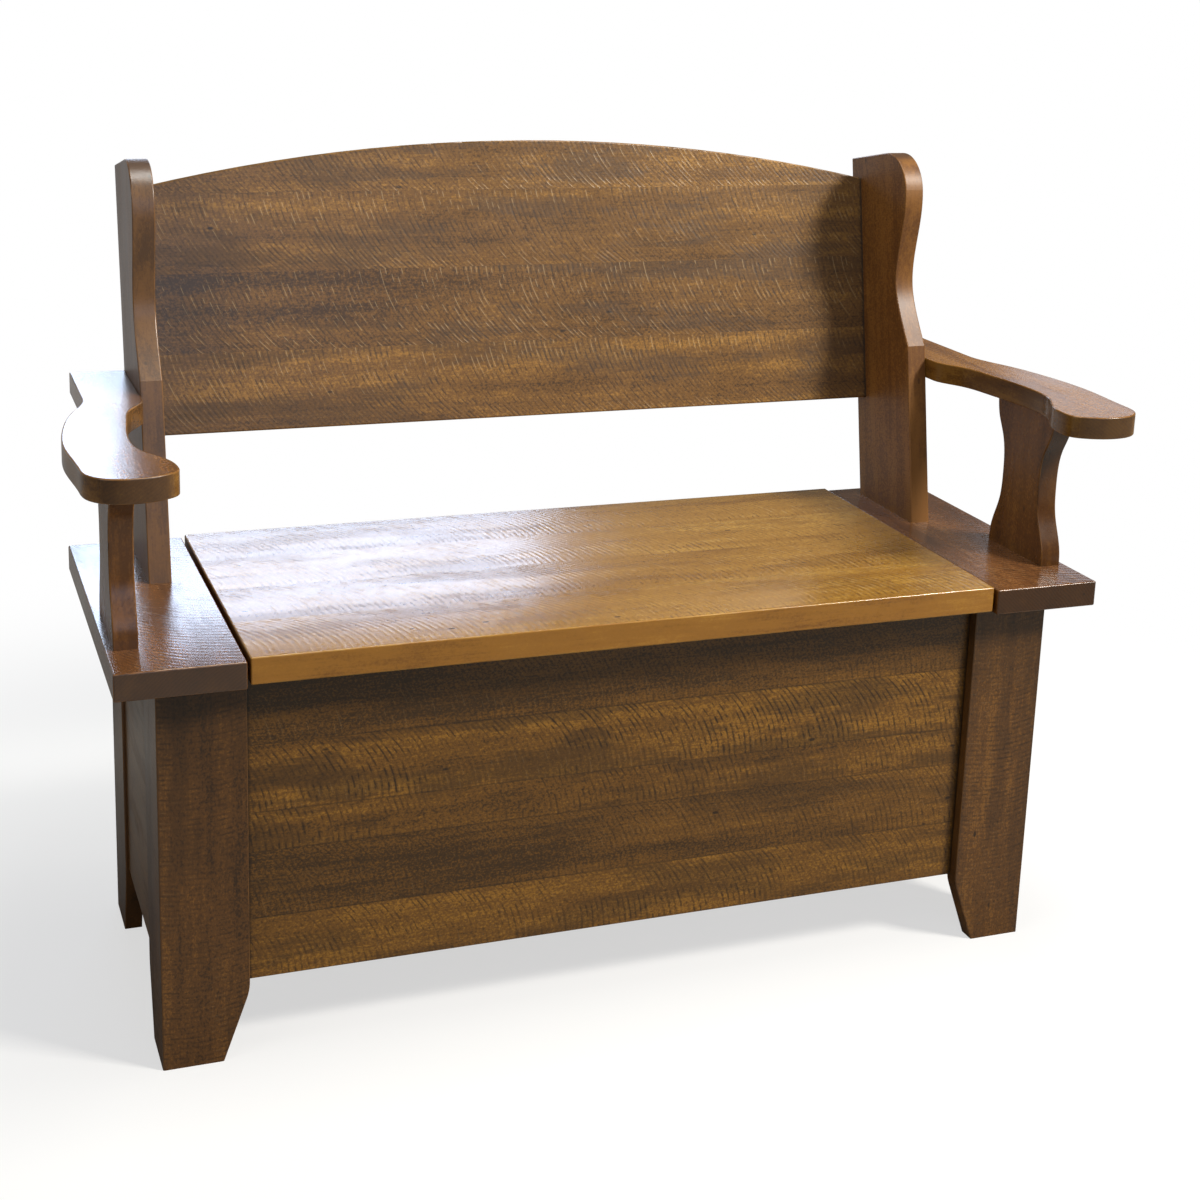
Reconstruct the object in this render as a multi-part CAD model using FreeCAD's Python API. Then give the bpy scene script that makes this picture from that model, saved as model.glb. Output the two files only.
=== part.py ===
import FreeCAD, Part
import math
import os

# A wooden storage bench: a chest on four cornered legs, a seat of two fixed end planks with a
# hinged lid between them, two leaning posts with an arched back panel, and two shaped arms.
# Millimetres, +Z up. The bench faces -Y and its left side is at -X. While it is built, Y starts at
# the front edge of the seat; the finished pieces are moved so that the origin is on the floor
# under the middle of the whole bench.

# Seat, over the two end planks
SEAT_HEIGHT = 457.0
SEAT_WIDTH = 1118.0
SEAT_DEPTH = 430.0
PLANK_THICKNESS = 29.5
END_PLANK_WIDTH = 131.0
SEAT_ROUNDING = 2.0

# Lid between the end planks
LID_SIDE_GAP = 3.4
LID_SETBACK = 3.0
LID_RISE = 3.0
LID_BOARDS = 4
BATTEN_WIDTH = 60.0
BATTEN_THICKNESS = 18.0
BATTEN_FROM_LID_END = 95.0
BATTEN_CLEARANCE = 12.0

# Legs, each of two boards mitred along the outer corner
LEG_SIDE_INSET = 44.0
LEG_FRONT_INSET = 33.0
LEG_REAR_INSET = 13.5
LEG_WIDTH = 92.0
LEG_BOARD = 20.0
FOOT_WIDTH = 64.0
SIDE_FOOT_WIDTH = 68.0
TAPER_HEIGHT = 78.0
TAPER_BEND = 60.0
LEG_ROUNDING = 2.0
LEG_ARRIS = 1.5
CORNER_BLOCK_DEPTH = 30.0

# Chest panels
FRONT_PANEL_RECESS = 12.4
FRONT_PANEL_THICKNESS = 18.0
FRONT_PANEL_LIFT = 84.0
FRONT_PANEL_LAP = 25.0
FRONT_PANEL_GAP = 1.0
FRONT_BOARD_WIDTHS = (69.0, 76.0, 44.0, 75.0)
SIDE_PANEL_RECESS = 3.9
SIDE_PANEL_LIFT = 88.0
CLEAT_SIZE = 20.0
CLEAT_DROP = 6.0
BOTTOM_THICKNESS = 12.0
SEAT_CLEAT_WIDTH = 35.0
SEAT_CLEAT_HEIGHT = 22.0

# Posts, boards that stand on the end planks and lean back
POST_SIDE_INSET = 70.6
POST_THICKNESS = 25.0
POST_WIDTH = 137.4
POST_LENGTH = 469.4
POST_LEAN = 10.5
POST_REAR_INSET = 25.5
POST_SHOULDER = 223.8
POST_WAIST = 297.0
POST_WAIST_DEPTH = 27.2
POST_HEAD_RADIUS = 50.0
POST_HEAD_SWELL = 3.7
POST_ARRIS = 1.5

# The hollow above a post's shoulder. Each point: its share of the way down to the waist or from
# there up to the head, and its share of the depth that is left or gained by then
HOLLOW_LOWER_SHARES = ((0.5, 0.62),)
HOLLOW_UPPER_SHARES = ((0.46, 0.40), (0.69, 0.76))

# Back panel between the posts, with an arched top; lengths run along the lean
BACK_THICKNESS = 20.0
BACK_REAR_INSET = 4.0
BACK_LIFT = 155.2
BACK_END_WIDTH = 287.0
BACK_ARCH_RISE = 51.4
BACK_BOARD_WIDTH = 93.0
BACK_ARRIS = 2.0

# Arms, level boards, and the shaped supports under them
ARM_HEIGHT = 205.0
ARM_THICKNESS = 25.0
ARM_NOSE = 36.0
ARM_SWELL = 39.0
ARM_HOOK = 33.5
ARM_TIP_SHIFT = 3.0
ARM_NECK_LENGTH = 18.0
ARM_TAIL_LENGTH = 62.0
ARM_REAR_INSET = 4.0
ARM_ARRIS = 1.5
SUPPORT_SIDE_INSET = 8.0
SUPPORT_THICKNESS = 25.4
SUPPORT_CENTRE = 124.0
SUPPORT_FOOT_WIDTH = 118.0
SUPPORT_WAIST_WIDTH = 79.0
SUPPORT_TOP_WIDTH = 124.0
SUPPORT_ARRIS = 1.5

# Turns of an arm's edge. Each point: its distance, and its share of the step from the post's outer
# face to the support's inner one, of the hook inwards from there, or of the swell outwards
NECK_AHEAD_OF_POST = ((58.0, 0.46), (103.0, 0.73))
HOOK_BEHIND_NOSE = ((139.0, 0.06), (101.0, 0.27), (63.0, 0.85), (36.0, 1.0), (20.0, 0.93), (9.0, 0.56))
SWELL_BEHIND_NOSE = ((7.0, 0.38), (24.0, 0.74), (52.0, 0.85), (134.0, 1.0), (205.0, 0.85))
TAIL_SWELL_SHARE = 0.44

# Turns of a support's edge. Each point: its share of the height, and its share of the step from
# the width at the waist to that at the foot or the top
WAIST_SHARE = 0.5
SUPPORT_LOWER_SHARES = ((0.0, 1.0), (0.10, 0.92), (0.315, 0.18))
SUPPORT_UPPER_SHARES = ((0.755, 0.29), (0.88, 0.80), (1.0, 1.0))

# Lid hinges: two butt hinges behind the chest, under the rear edge of the lid
HINGE_LENGTH = 64.0
HINGE_FROM_LID_END = 120.0
HINGE_SCREW_PITCH = 21.0
HINGE_SCREW_FROM_PIN = 19.0
LEAF_WIDTH = 32.0
LEAF_THICKNESS = 2.0
KNUCKLES = 5
KNUCKLE_RADIUS = 3.7
KNUCKLE_CLEARANCE = 0.3
PIN_RADIUS = 2.0
PIN_CLEARANCE = 0.1
PIN_HEAD_RADIUS = 3.0
PIN_HEAD_LENGTH = 1.5
BUMPER_RADIUS = 7.0
BUMPER_FROM_LID_END = 45.0

# Dowels and screws
DOWEL_RADIUS = 5.0
DOWEL_LENGTH = 46.0
DOWEL_IN_BOARD = 17.0
DOWEL_CHAMFER = 1.0
SMALL_DOWEL_RADIUS = 4.0
SMALL_DOWEL_LENGTH = 40.0
HOLE_EASE = 0.1
SCREW_SHANK = 4.0
SCREW_HEAD = 7.6
SCREW_POINT = 4.0
LONG_SCREW_SHANK = 6.0
LONG_SCREW_HEAD = 11.0
PANEL_SCREW_LENGTH = 24.0
SEAT_SCREW_LENGTH = 40.0
BATTEN_SCREW_LENGTH = 35.0
HINGE_SCREW_LENGTH = 17.0
POST_SCREW_LENGTH = 100.0
SUPPORT_SCREW_LENGTH = 75.0
UPRIGHT_SCREW_SPACING = 66.0
SEAT_SCREW_FROM_LEG = 40.0
SEAT_SCREW_FROM_POST = 20.0
BATTEN_SCREW_FROM_END = 20.0
SLOT_LENGTH_SHARE = 0.64
SLOT_WIDTH_SHARE = 0.2
SCREW_TIP_SHARE = 0.25

# Seat and chest levels and faces that follow from the sizes above
SEAT_HALF = SEAT_WIDTH / 2
SEAT_UNDERSIDE = SEAT_HEIGHT - PLANK_THICKNESS
LID_HALF = SEAT_HALF - END_PLANK_WIDTH - LID_SIDE_GAP
LID_TOP = SEAT_HEIGHT + LID_RISE
LID_UNDERSIDE = LID_TOP - PLANK_THICKNESS
LEG_OUTSIDE = SEAT_HALF - LEG_SIDE_INSET
LEG_INSIDE = LEG_OUTSIDE - LEG_WIDTH
CHEST_INSIDE = LEG_OUTSIDE - LEG_BOARD
CHEST_FRONT = LEG_FRONT_INSET
CHEST_BACK = SEAT_DEPTH - LEG_REAR_INSET
CHEST_MIDDLE = (CHEST_FRONT + CHEST_BACK) / 2
PANEL_FRONT = CHEST_FRONT + FRONT_PANEL_RECESS
PANEL_BACK = PANEL_FRONT + FRONT_PANEL_THICKNESS
REAR_PANEL_INSIDE = CHEST_BACK - LEG_BOARD
LAP_END = LEG_INSIDE + FRONT_PANEL_LAP
CLEAT_BOTTOM = FRONT_PANEL_LIFT + CLEAT_DROP
BOTTOM_UNDERSIDE = CLEAT_BOTTOM + CLEAT_SIZE
BOTTOM_TOP = BOTTOM_UNDERSIDE + BOTTOM_THICKNESS
SEAT_CLEAT_BOTTOM = SEAT_UNDERSIDE - SEAT_CLEAT_HEIGHT
SEAT_CLEAT_INNER = CHEST_INSIDE - SEAT_CLEAT_WIDTH

# Posts, arms and hinge
LEAN = math.radians(POST_LEAN)
POST_OUTSIDE = SEAT_HALF - POST_SIDE_INSET
POST_INSIDE = POST_OUTSIDE - POST_THICKNESS
POST_FOOT_FRONT = SEAT_DEPTH - POST_REAR_INSET - POST_WIDTH / math.cos(LEAN)
BACK_FRONT = POST_WIDTH - BACK_REAR_INSET - BACK_THICKNESS
ARM_TOP = SEAT_HEIGHT + ARM_HEIGHT
ARM_UNDERSIDE = ARM_TOP - ARM_THICKNESS
ARM_MIDDLE = ARM_TOP - ARM_THICKNESS / 2
ARM_POST_FRONT = POST_FOOT_FRONT + (ARM_MIDDLE - SEAT_HEIGHT) * math.tan(LEAN)
SUPPORT_OUTSIDE = SEAT_HALF - SUPPORT_SIDE_INSET
SUPPORT_INSIDE = SUPPORT_OUTSIDE - SUPPORT_THICKNESS
HINGE_OFFSET = KNUCKLE_RADIUS + KNUCKLE_CLEARANCE
HINGE_Y = CHEST_BACK + HINGE_OFFSET
HINGE_Z = LID_UNDERSIDE - HINGE_OFFSET
HINGE_X = LID_HALF - HINGE_FROM_LID_END

# The rearmost point is the top back corner of a post, the foremost the nose of an arm
REAR_REACH = POST_FOOT_FRONT + POST_WIDTH * math.cos(LEAN) + POST_LENGTH * math.sin(LEAN)
ORIGIN_Y = (REAR_REACH - ARM_NOSE) / 2

TINY = 0.01
SIDES = {"left": -1, "right": 1}


def vec(x, y, z):
    return FreeCAD.Vector(x, y, z)


def block(x0, x1, y0, y1, z0, z1):
    return Part.makeBox(x1 - x0, y1 - y0, z1 - z0, vec(x0, y0, z0))


def on_side(shape, side):
    """A piece made for the right side, or its mirror image for the left side."""
    return shape if side > 0 else shape.mirror(vec(0, 0, 0), vec(1, 0, 0))


def to_rear(shape):
    """The mirror image of a front leg piece, at the back of the chest."""
    return shape.mirror(vec(0, CHEST_MIDDLE, 0), vec(0, 1, 0))


def straight(start, end):
    return Part.LineSegment(start, end).toShape()


def curve(points, start_direction, end_direction):
    spline = Part.BSplineCurve()
    first = start_direction.normalize()
    last = end_direction.normalize()
    spline.interpolate(Points=points, InitialTangent=first, FinalTangent=last, Scale=False)
    return spline.toShape()


def prism(edges, reach):
    return Part.Face(Part.Wire(edges)).extrude(reach)


def polygon_prism(points, reach):
    corners = points + [points[0]]
    return Part.Face(Part.makePolygon(corners)).extrude(reach)


def rounded(shape, radius, chosen):
    edges = [edge for edge in shape.Edges if chosen(edge)]
    return shape.makeFillet(radius, edges)


def same(a, b):
    return abs(a - b) < TINY


def level_at(edge, axis):
    """The place of an edge on an axis where it keeps one, and nothing where it doesn't."""
    box = edge.BoundBox
    low, high = {"x": (box.XMin, box.XMax), "y": (box.YMin, box.YMax), "z": (box.ZMin, box.ZMax)}[axis]
    return (low + high) / 2 if high - low < TINY else None


def lies_at(edge, axis, place):
    level = level_at(edge, axis)
    return level is not None and same(level, place)


def sliced(shape, axis, seams):
    """Cuts a glued-up panel into its boards at the seams, given from one edge to the other."""
    box = shape.BoundBox
    boards = []
    for low, high in zip(seams[:-1], seams[1:]):
        reach = {"y": (box.YMin, box.YMax), "z": (box.ZMin, box.ZMax)}
        reach[axis] = (low, high)
        slab = block(box.XMin - 1, box.XMax + 1, *reach["y"], *reach["z"])
        boards.append(shape.common(slab))
    return boards


# Dowels and screws are made along +Z from the origin, then placed

def placed(shape, point, direction):
    moved = shape.copy()
    moved.Placement = FreeCAD.Placement(point, FreeCAD.Rotation(vec(0, 0, 1), direction))
    return moved


def dowel(radius, length):
    pin = Part.makeCylinder(radius, length)
    rims = [edge for edge in pin.Edges if level_at(edge, "z") is not None]
    return pin.makeChamfer(DOWEL_CHAMFER, rims)


def screw_body(length, shank, head, ease):
    """A countersunk screw, its head flush at the origin; with ease it is the hole for it."""
    head_depth = (head - shank) / 2
    cone = Part.makeCone(head / 2 + ease, shank / 2 + ease, head_depth)
    stem = Part.makeCylinder(shank / 2 + ease, length - SCREW_POINT)
    tip = shank * SCREW_TIP_SHARE / 2
    point = Part.makeCone(shank / 2 + ease, tip + ease, SCREW_POINT, vec(0, 0, length - SCREW_POINT))
    return cone.fuse([stem, point]).removeSplitter()


def screw(length, shank, head):
    body = screw_body(length, shank, head, 0.0)
    length_half = head * SLOT_LENGTH_SHARE / 2
    width_half = head * SLOT_WIDTH_SHARE / 2
    depth = (head - shank) / 4
    one = block(-length_half, length_half, -width_half, width_half, 0, depth)
    other = block(-width_half, width_half, -length_half, length_half, 0, depth)
    return body.cut(one.fuse(other))


class Fasteners:
    """One kind of fastener: where each one goes, and the holes that it needs."""

    def __init__(self, piece, hole):
        self.piece = piece
        self.hole = hole
        self.spots = []

    def add(self, point, direction):
        self.spots.append((point, direction))

    def pieces(self):
        return [placed(self.piece, point, direction) for point, direction in self.spots]

    def holes(self):
        return [placed(self.hole, point, direction) for point, direction in self.spots]


def screws(length, shank=SCREW_SHANK, head=SCREW_HEAD):
    return Fasteners(screw(length, shank, head), screw_body(length, shank, head, HOLE_EASE))


def dowels(radius, length):
    hole = Part.makeCylinder(radius + HOLE_EASE, length + 2 * HOLE_EASE, vec(0, 0, -HOLE_EASE))
    return Fasteners(dowel(radius, length), hole)


# Seat: two end planks, and the lid of edge-glued boards with two battens under it

def end_plank():
    plank = block(SEAT_HALF - END_PLANK_WIDTH, SEAT_HALF, 0, SEAT_DEPTH, SEAT_UNDERSIDE, SEAT_HEIGHT)
    return plank.makeFillet(SEAT_ROUNDING, plank.Edges)


def lid_boards():
    lid = block(-LID_HALF, LID_HALF, LID_SETBACK, SEAT_DEPTH, LID_UNDERSIDE, LID_TOP)
    lid = lid.makeFillet(SEAT_ROUNDING, lid.Edges)
    board_depth = (SEAT_DEPTH - LID_SETBACK) / LID_BOARDS
    seams = [LID_SETBACK + board_depth * i for i in range(LID_BOARDS + 1)]
    return sliced(lid, "y", seams)


def batten():
    middle = LID_HALF - BATTEN_FROM_LID_END
    front = PANEL_BACK + BATTEN_CLEARANCE
    back = REAR_PANEL_INSIDE - BATTEN_CLEARANCE
    bar = block(middle - BATTEN_WIDTH / 2, middle + BATTEN_WIDTH / 2, front, back,
                LID_UNDERSIDE - BATTEN_THICKNESS, LID_UNDERSIDE)
    return rounded(bar, SEAT_ROUNDING, lambda edge: not lies_at(edge, "z", LID_UNDERSIDE))


def bumper():
    """A soft pad on the top edge of the front panel, on which the closed lid rests."""
    centre = vec(LID_HALF - BUMPER_FROM_LID_END, (PANEL_FRONT + PANEL_BACK) / 2, SEAT_UNDERSIDE)
    return Part.makeCylinder(BUMPER_RADIUS, LID_UNDERSIDE - SEAT_UNDERSIDE, centre)


# Legs: a face board across the front and a side board along the end, for the front right corner

def leg_envelope():
    """The space of a leg, with its outer upright corner rounded."""
    space = block(LEG_INSIDE, LEG_OUTSIDE, CHEST_FRONT, CHEST_FRONT + LEG_WIDTH, 0, SEAT_UNDERSIDE)
    return rounded(space, LEG_ROUNDING,
                   lambda edge: lies_at(edge, "x", LEG_OUTSIDE) and lies_at(edge, "y", CHEST_FRONT))


def leg_face_board():
    plan = [vec(LEG_INSIDE, CHEST_FRONT, 0), vec(LEG_OUTSIDE, CHEST_FRONT, 0),
            vec(CHEST_INSIDE, CHEST_FRONT + LEG_BOARD, 0), vec(LEG_INSIDE, CHEST_FRONT + LEG_BOARD, 0)]
    stock = polygon_prism(plan, vec(0, 0, SEAT_UNDERSIDE))
    foot_edge = LEG_OUTSIDE - FOOT_WIDTH
    front_view = [vec(foot_edge, CHEST_FRONT, 0), vec(LEG_OUTSIDE, CHEST_FRONT, 0),
                  vec(LEG_OUTSIDE, CHEST_FRONT, SEAT_UNDERSIDE), vec(LEG_INSIDE, CHEST_FRONT, SEAT_UNDERSIDE),
                  vec(LEG_INSIDE, CHEST_FRONT, TAPER_HEIGHT)]
    shape = polygon_prism(front_view, vec(0, LEG_BOARD, 0))
    shape = rounded(shape, TAPER_BEND,
                    lambda edge: lies_at(edge, "z", TAPER_HEIGHT) and lies_at(edge, "x", LEG_INSIDE))
    board = stock.common(shape).common(leg_envelope())
    return rounded(board, LEG_ARRIS, lambda edge: lies_at(edge, "y", CHEST_FRONT)
                   and level_at(edge, "z") is None and edge.BoundBox.XMin < LEG_OUTSIDE - FOOT_WIDTH)


def leg_side_board():
    back = CHEST_FRONT + LEG_WIDTH
    plan = [vec(LEG_OUTSIDE, CHEST_FRONT, 0), vec(LEG_OUTSIDE, back, 0),
            vec(CHEST_INSIDE, back, 0), vec(CHEST_INSIDE, CHEST_FRONT + LEG_BOARD, 0)]
    stock = polygon_prism(plan, vec(0, 0, SEAT_UNDERSIDE))
    foot_edge = CHEST_FRONT + SIDE_FOOT_WIDTH
    side_view = [vec(CHEST_INSIDE, CHEST_FRONT, 0), vec(CHEST_INSIDE, foot_edge, 0),
                 vec(CHEST_INSIDE, back, TAPER_HEIGHT), vec(CHEST_INSIDE, back, SEAT_UNDERSIDE),
                 vec(CHEST_INSIDE, CHEST_FRONT, SEAT_UNDERSIDE)]
    shape = polygon_prism(side_view, vec(LEG_BOARD, 0, 0))
    shape = rounded(shape, TAPER_BEND,
                    lambda edge: lies_at(edge, "z", TAPER_HEIGHT) and lies_at(edge, "y", back))
    board = stock.common(shape).common(leg_envelope())
    return rounded(board, LEG_ARRIS, lambda edge: lies_at(edge, "x", LEG_OUTSIDE)
                   and level_at(edge, "z") is None and edge.BoundBox.YMax > foot_edge)


def corner_block():
    """Glued in the corner of a front leg, from the bottom cleats up to the seat cleat."""
    front = CHEST_FRONT + LEG_BOARD
    return block(LAP_END, CHEST_INSIDE, front, front + CORNER_BLOCK_DEPTH, CLEAT_BOTTOM, SEAT_CLEAT_BOTTOM)


# Chest panels, bottom and cleats

def panel_seams():
    seams = [FRONT_PANEL_LIFT]
    for width in FRONT_BOARD_WIDTHS:
        seams.append(seams[-1] + width)
    return seams + [SEAT_UNDERSIDE]


def front_panel_boards():
    """Edge-glued boards, stepped at both ends so that they lap behind the leg boards."""
    face_half = LEG_INSIDE - FRONT_PANEL_GAP
    face = block(-face_half, face_half, PANEL_FRONT, PANEL_BACK, FRONT_PANEL_LIFT, SEAT_UNDERSIDE)
    face = rounded(face, LEG_ARRIS, lambda edge: lies_at(edge, "y", PANEL_FRONT)
                   and lies_at(edge, "z", FRONT_PANEL_LIFT))
    lap = block(-LAP_END, LAP_END, CHEST_FRONT + LEG_BOARD, PANEL_BACK, FRONT_PANEL_LIFT, SEAT_UNDERSIDE)
    return sliced(face.fuse(lap).removeSplitter(), "z", panel_seams())


def rear_panel_boards():
    panel = block(-LEG_INSIDE, LEG_INSIDE, REAR_PANEL_INSIDE, CHEST_BACK, FRONT_PANEL_LIFT, SEAT_UNDERSIDE)
    return sliced(panel, "z", panel_seams())


def side_panel():
    front = CHEST_FRONT + LEG_WIDTH
    back = CHEST_BACK - LEG_WIDTH
    outside = LEG_OUTSIDE - SIDE_PANEL_RECESS
    panel = block(CHEST_INSIDE, outside, front, back, SIDE_PANEL_LIFT, SEAT_UNDERSIDE)
    return rounded(panel, LEG_ARRIS,
                   lambda edge: lies_at(edge, "x", outside) and lies_at(edge, "z", SIDE_PANEL_LIFT))


def long_cleat(front):
    return block(-LAP_END, LAP_END, front, front + CLEAT_SIZE, CLEAT_BOTTOM, BOTTOM_UNDERSIDE)


def side_cleat():
    front = CHEST_FRONT + LEG_BOARD + CORNER_BLOCK_DEPTH
    back = REAR_PANEL_INSIDE - CORNER_BLOCK_DEPTH
    return block(CHEST_INSIDE - CLEAT_SIZE, CHEST_INSIDE, front, back, CLEAT_BOTTOM, BOTTOM_UNDERSIDE)


def seat_cleat():
    """Runs along the top of the chest side; screws go up through it into the end plank."""
    return block(SEAT_CLEAT_INNER, CHEST_INSIDE, CHEST_FRONT + LEG_BOARD, REAR_PANEL_INSIDE,
                 SEAT_CLEAT_BOTTOM, SEAT_UNDERSIDE)


def bottom_panel(corner_blocks):
    board = block(-CHEST_INSIDE, CHEST_INSIDE, PANEL_BACK, REAR_PANEL_INSIDE, BOTTOM_UNDERSIDE, BOTTOM_TOP)
    return board.cut(corner_blocks)


# Posts and back panel are made upright, with the front edge of a post at Y 0 and its foot at Z 0

def leaned(shape):
    moved = shape.copy()
    lean = FreeCAD.Rotation(vec(1, 0, 0), -POST_LEAN)
    moved.Placement = FreeCAD.Placement(vec(0, POST_FOOT_FRONT, SEAT_HEIGHT), lean)
    return moved


def leaned_point(x, across, along):
    y = POST_FOOT_FRONT + across * math.cos(LEAN) + along * math.sin(LEAN)
    z = SEAT_HEIGHT - across * math.sin(LEAN) + along * math.cos(LEAN)
    return vec(x, y, z)


def upright_post():
    """Straight edges, but for the front above the shoulder: a hollow, then a rounded head."""
    x = POST_INSIDE
    rise = POST_WAIST - POST_SHOULDER
    head_start = POST_LENGTH - POST_HEAD_RADIUS
    fall = head_start - POST_WAIST
    swing = POST_WAIST_DEPTH + POST_HEAD_SWELL
    shoulder = vec(x, 0, POST_SHOULDER)
    head_side = vec(x, -POST_HEAD_SWELL, head_start)
    head_top = vec(x, POST_HEAD_RADIUS - POST_HEAD_SWELL, POST_LENGTH)
    slant = math.sqrt(0.5) * POST_HEAD_RADIUS
    head_middle = vec(x, POST_HEAD_RADIUS - POST_HEAD_SWELL - slant, head_start + slant)
    hollow = [shoulder]
    for way, depth in HOLLOW_LOWER_SHARES:
        hollow.append(vec(x, POST_WAIST_DEPTH * depth, POST_SHOULDER + rise * way))
    hollow.append(vec(x, POST_WAIST_DEPTH, POST_WAIST))
    for way, depth in HOLLOW_UPPER_SHARES:
        hollow.append(vec(x, POST_WAIST_DEPTH - swing * depth, POST_WAIST + fall * way))
    hollow.append(head_side)
    foot_front = vec(x, 0, 0)
    foot_back = vec(x, POST_WIDTH, POST_WIDTH * math.tan(LEAN))
    top_back = vec(x, POST_WIDTH, POST_LENGTH)
    outline = [straight(foot_back, foot_front), straight(foot_front, shoulder),
               curve(hollow, vec(0, 0.5, 1), vec(0, 0, 1)),
               Part.Arc(head_side, head_middle, head_top).toShape(),
               straight(head_top, top_back), straight(top_back, foot_back)]
    board = prism(outline, vec(POST_THICKNESS, 0, 0))
    return rounded(board, POST_ARRIS, lambda edge: level_at(edge, "x") is not None
                   and edge.BoundBox.ZMax > POST_WIDTH)


def back_panel_boards():
    front = BACK_FRONT
    end_top = BACK_LIFT + BACK_END_WIDTH
    crown = end_top + BACK_ARCH_RISE
    low_left = vec(-POST_INSIDE, front, BACK_LIFT)
    low_right = vec(POST_INSIDE, front, BACK_LIFT)
    high_left = vec(-POST_INSIDE, front, end_top)
    high_right = vec(POST_INSIDE, front, end_top)
    outline = [straight(high_left, low_left), straight(low_left, low_right), straight(low_right, high_right),
               Part.Arc(high_right, vec(0, front, crown), high_left).toShape()]
    panel = prism(outline, vec(0, BACK_THICKNESS, 0))
    panel = rounded(panel, BACK_ARRIS, lambda edge: level_at(edge, "y") is not None
                    and level_at(edge, "x") is None)
    seams = [BACK_LIFT]
    while seams[-1] + BACK_BOARD_WIDTH < end_top:
        seams.append(seams[-1] + BACK_BOARD_WIDTH)
    return sliced(panel, "z", seams + [crown])


def back_dowel_spots():
    """One dowel in the middle of each full board, at both ends of the panel."""
    across = BACK_FRONT + BACK_THICKNESS / 2
    count = int(BACK_END_WIDTH / BACK_BOARD_WIDTH)
    return [(across, BACK_LIFT + BACK_BOARD_WIDTH * (i + 0.5)) for i in range(count)]


# Arms and their supports

def arm():
    """The plan runs from the post along the inner edge, round the nose and back outside."""
    z = ARM_UNDERSIDE
    nose = -ARM_NOSE
    post_front = ARM_POST_FRONT
    back = post_front + POST_WIDTH / math.cos(LEAN) - ARM_REAR_INSET
    inner_start = vec(POST_OUTSIDE, post_front - ARM_NECK_LENGTH, z)
    outer_end = vec(SUPPORT_OUTSIDE, post_front, z)
    tip = (SUPPORT_INSIDE - ARM_HOOK + SUPPORT_OUTSIDE + ARM_SWELL) / 2 - ARM_TIP_SHIFT
    step = SUPPORT_INSIDE - POST_OUTSIDE
    neck = [vec(POST_OUTSIDE + step * share, post_front - ahead, z)
            for ahead, share in NECK_AHEAD_OF_POST]
    hook = [vec(SUPPORT_INSIDE - ARM_HOOK * share, nose + behind, z)
            for behind, share in HOOK_BEHIND_NOSE]
    swell = [vec(SUPPORT_OUTSIDE + ARM_SWELL * share, nose + behind, z)
             for behind, share in SWELL_BEHIND_NOSE]
    tail = vec(SUPPORT_OUTSIDE + ARM_SWELL * TAIL_SWELL_SHARE, post_front - ARM_TAIL_LENGTH, z)
    plan = [inner_start, *neck, *hook, vec(tip, nose, z), *swell, tail, outer_end]
    back_inner = vec(POST_OUTSIDE, back, z)
    back_outer = vec(SUPPORT_OUTSIDE, back, z)
    outline = [straight(back_inner, inner_start), curve(plan, vec(0, -1, 0), vec(0, 1, 0)),
               straight(outer_end, back_outer), straight(back_outer, back_inner)]
    board = prism(outline, vec(0, 0, ARM_THICKNESS))
    return rounded(board, ARM_ARRIS, lambda edge: level_at(edge, "z") is not None)


def support():
    """An hourglass board between the end plank and the arm."""
    height = ARM_UNDERSIDE - SEAT_HEIGHT
    waist = SUPPORT_WAIST_WIDTH / 2
    foot_step = SUPPORT_FOOT_WIDTH / 2 - waist
    top_step = SUPPORT_TOP_WIDTH / 2 - waist
    profile = [(waist + foot_step * step, share) for share, step in SUPPORT_LOWER_SHARES]
    profile.append((waist, WAIST_SHARE))
    profile += [(waist + top_step * step, share) for share, step in SUPPORT_UPPER_SHARES]

    def edge_points(sign):
        return [vec(SUPPORT_INSIDE, SUPPORT_CENTRE + sign * half, SEAT_HEIGHT + share * height)
                for half, share in profile]

    front = edge_points(-1)
    rear = edge_points(1)
    outline = [curve(front, vec(0, 0, 1), vec(0, -0.1, 1)), straight(front[-1], rear[-1]),
               curve(rear[::-1], vec(0, -0.1, -1), vec(0, 0, -1)), straight(rear[0], front[0])]
    board = prism(outline, vec(SUPPORT_THICKNESS, 0, 0))
    return rounded(board, SUPPORT_ARRIS,
                   lambda edge: level_at(edge, "x") is not None and level_at(edge, "z") is None)


# Hinges, each a frame leaf with the outer knuckles, a lid leaf with the others, and a pin

def knuckle_spans(first):
    pitch = HINGE_LENGTH / KNUCKLES
    start = HINGE_X - HINGE_LENGTH / 2
    ease = KNUCKLE_CLEARANCE / 2
    return [(start + pitch * i + ease, start + pitch * (i + 1) - ease) for i in range(first, KNUCKLES, 2)]


def barrel(span):
    start, end = span
    around = vec(start, HINGE_Y, HINGE_Z)
    outer = Part.makeCylinder(KNUCKLE_RADIUS, end - start, around, vec(1, 0, 0))
    return outer, Part.makeCylinder(PIN_RADIUS + PIN_CLEARANCE, end - start, around, vec(1, 0, 0))


def leaf(plate, own, other, notch_y, notch_z):
    """A plate with its own knuckles, notched where the knuckles of the other leaf turn."""
    notches = [block(start - KNUCKLE_CLEARANCE, end + KNUCKLE_CLEARANCE, *notch_y, *notch_z)
               for start, end in other]
    outers, bores = zip(*[barrel(span) for span in own])
    return plate.cut(notches).fuse(list(outers)).removeSplitter().cut(list(bores))


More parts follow.
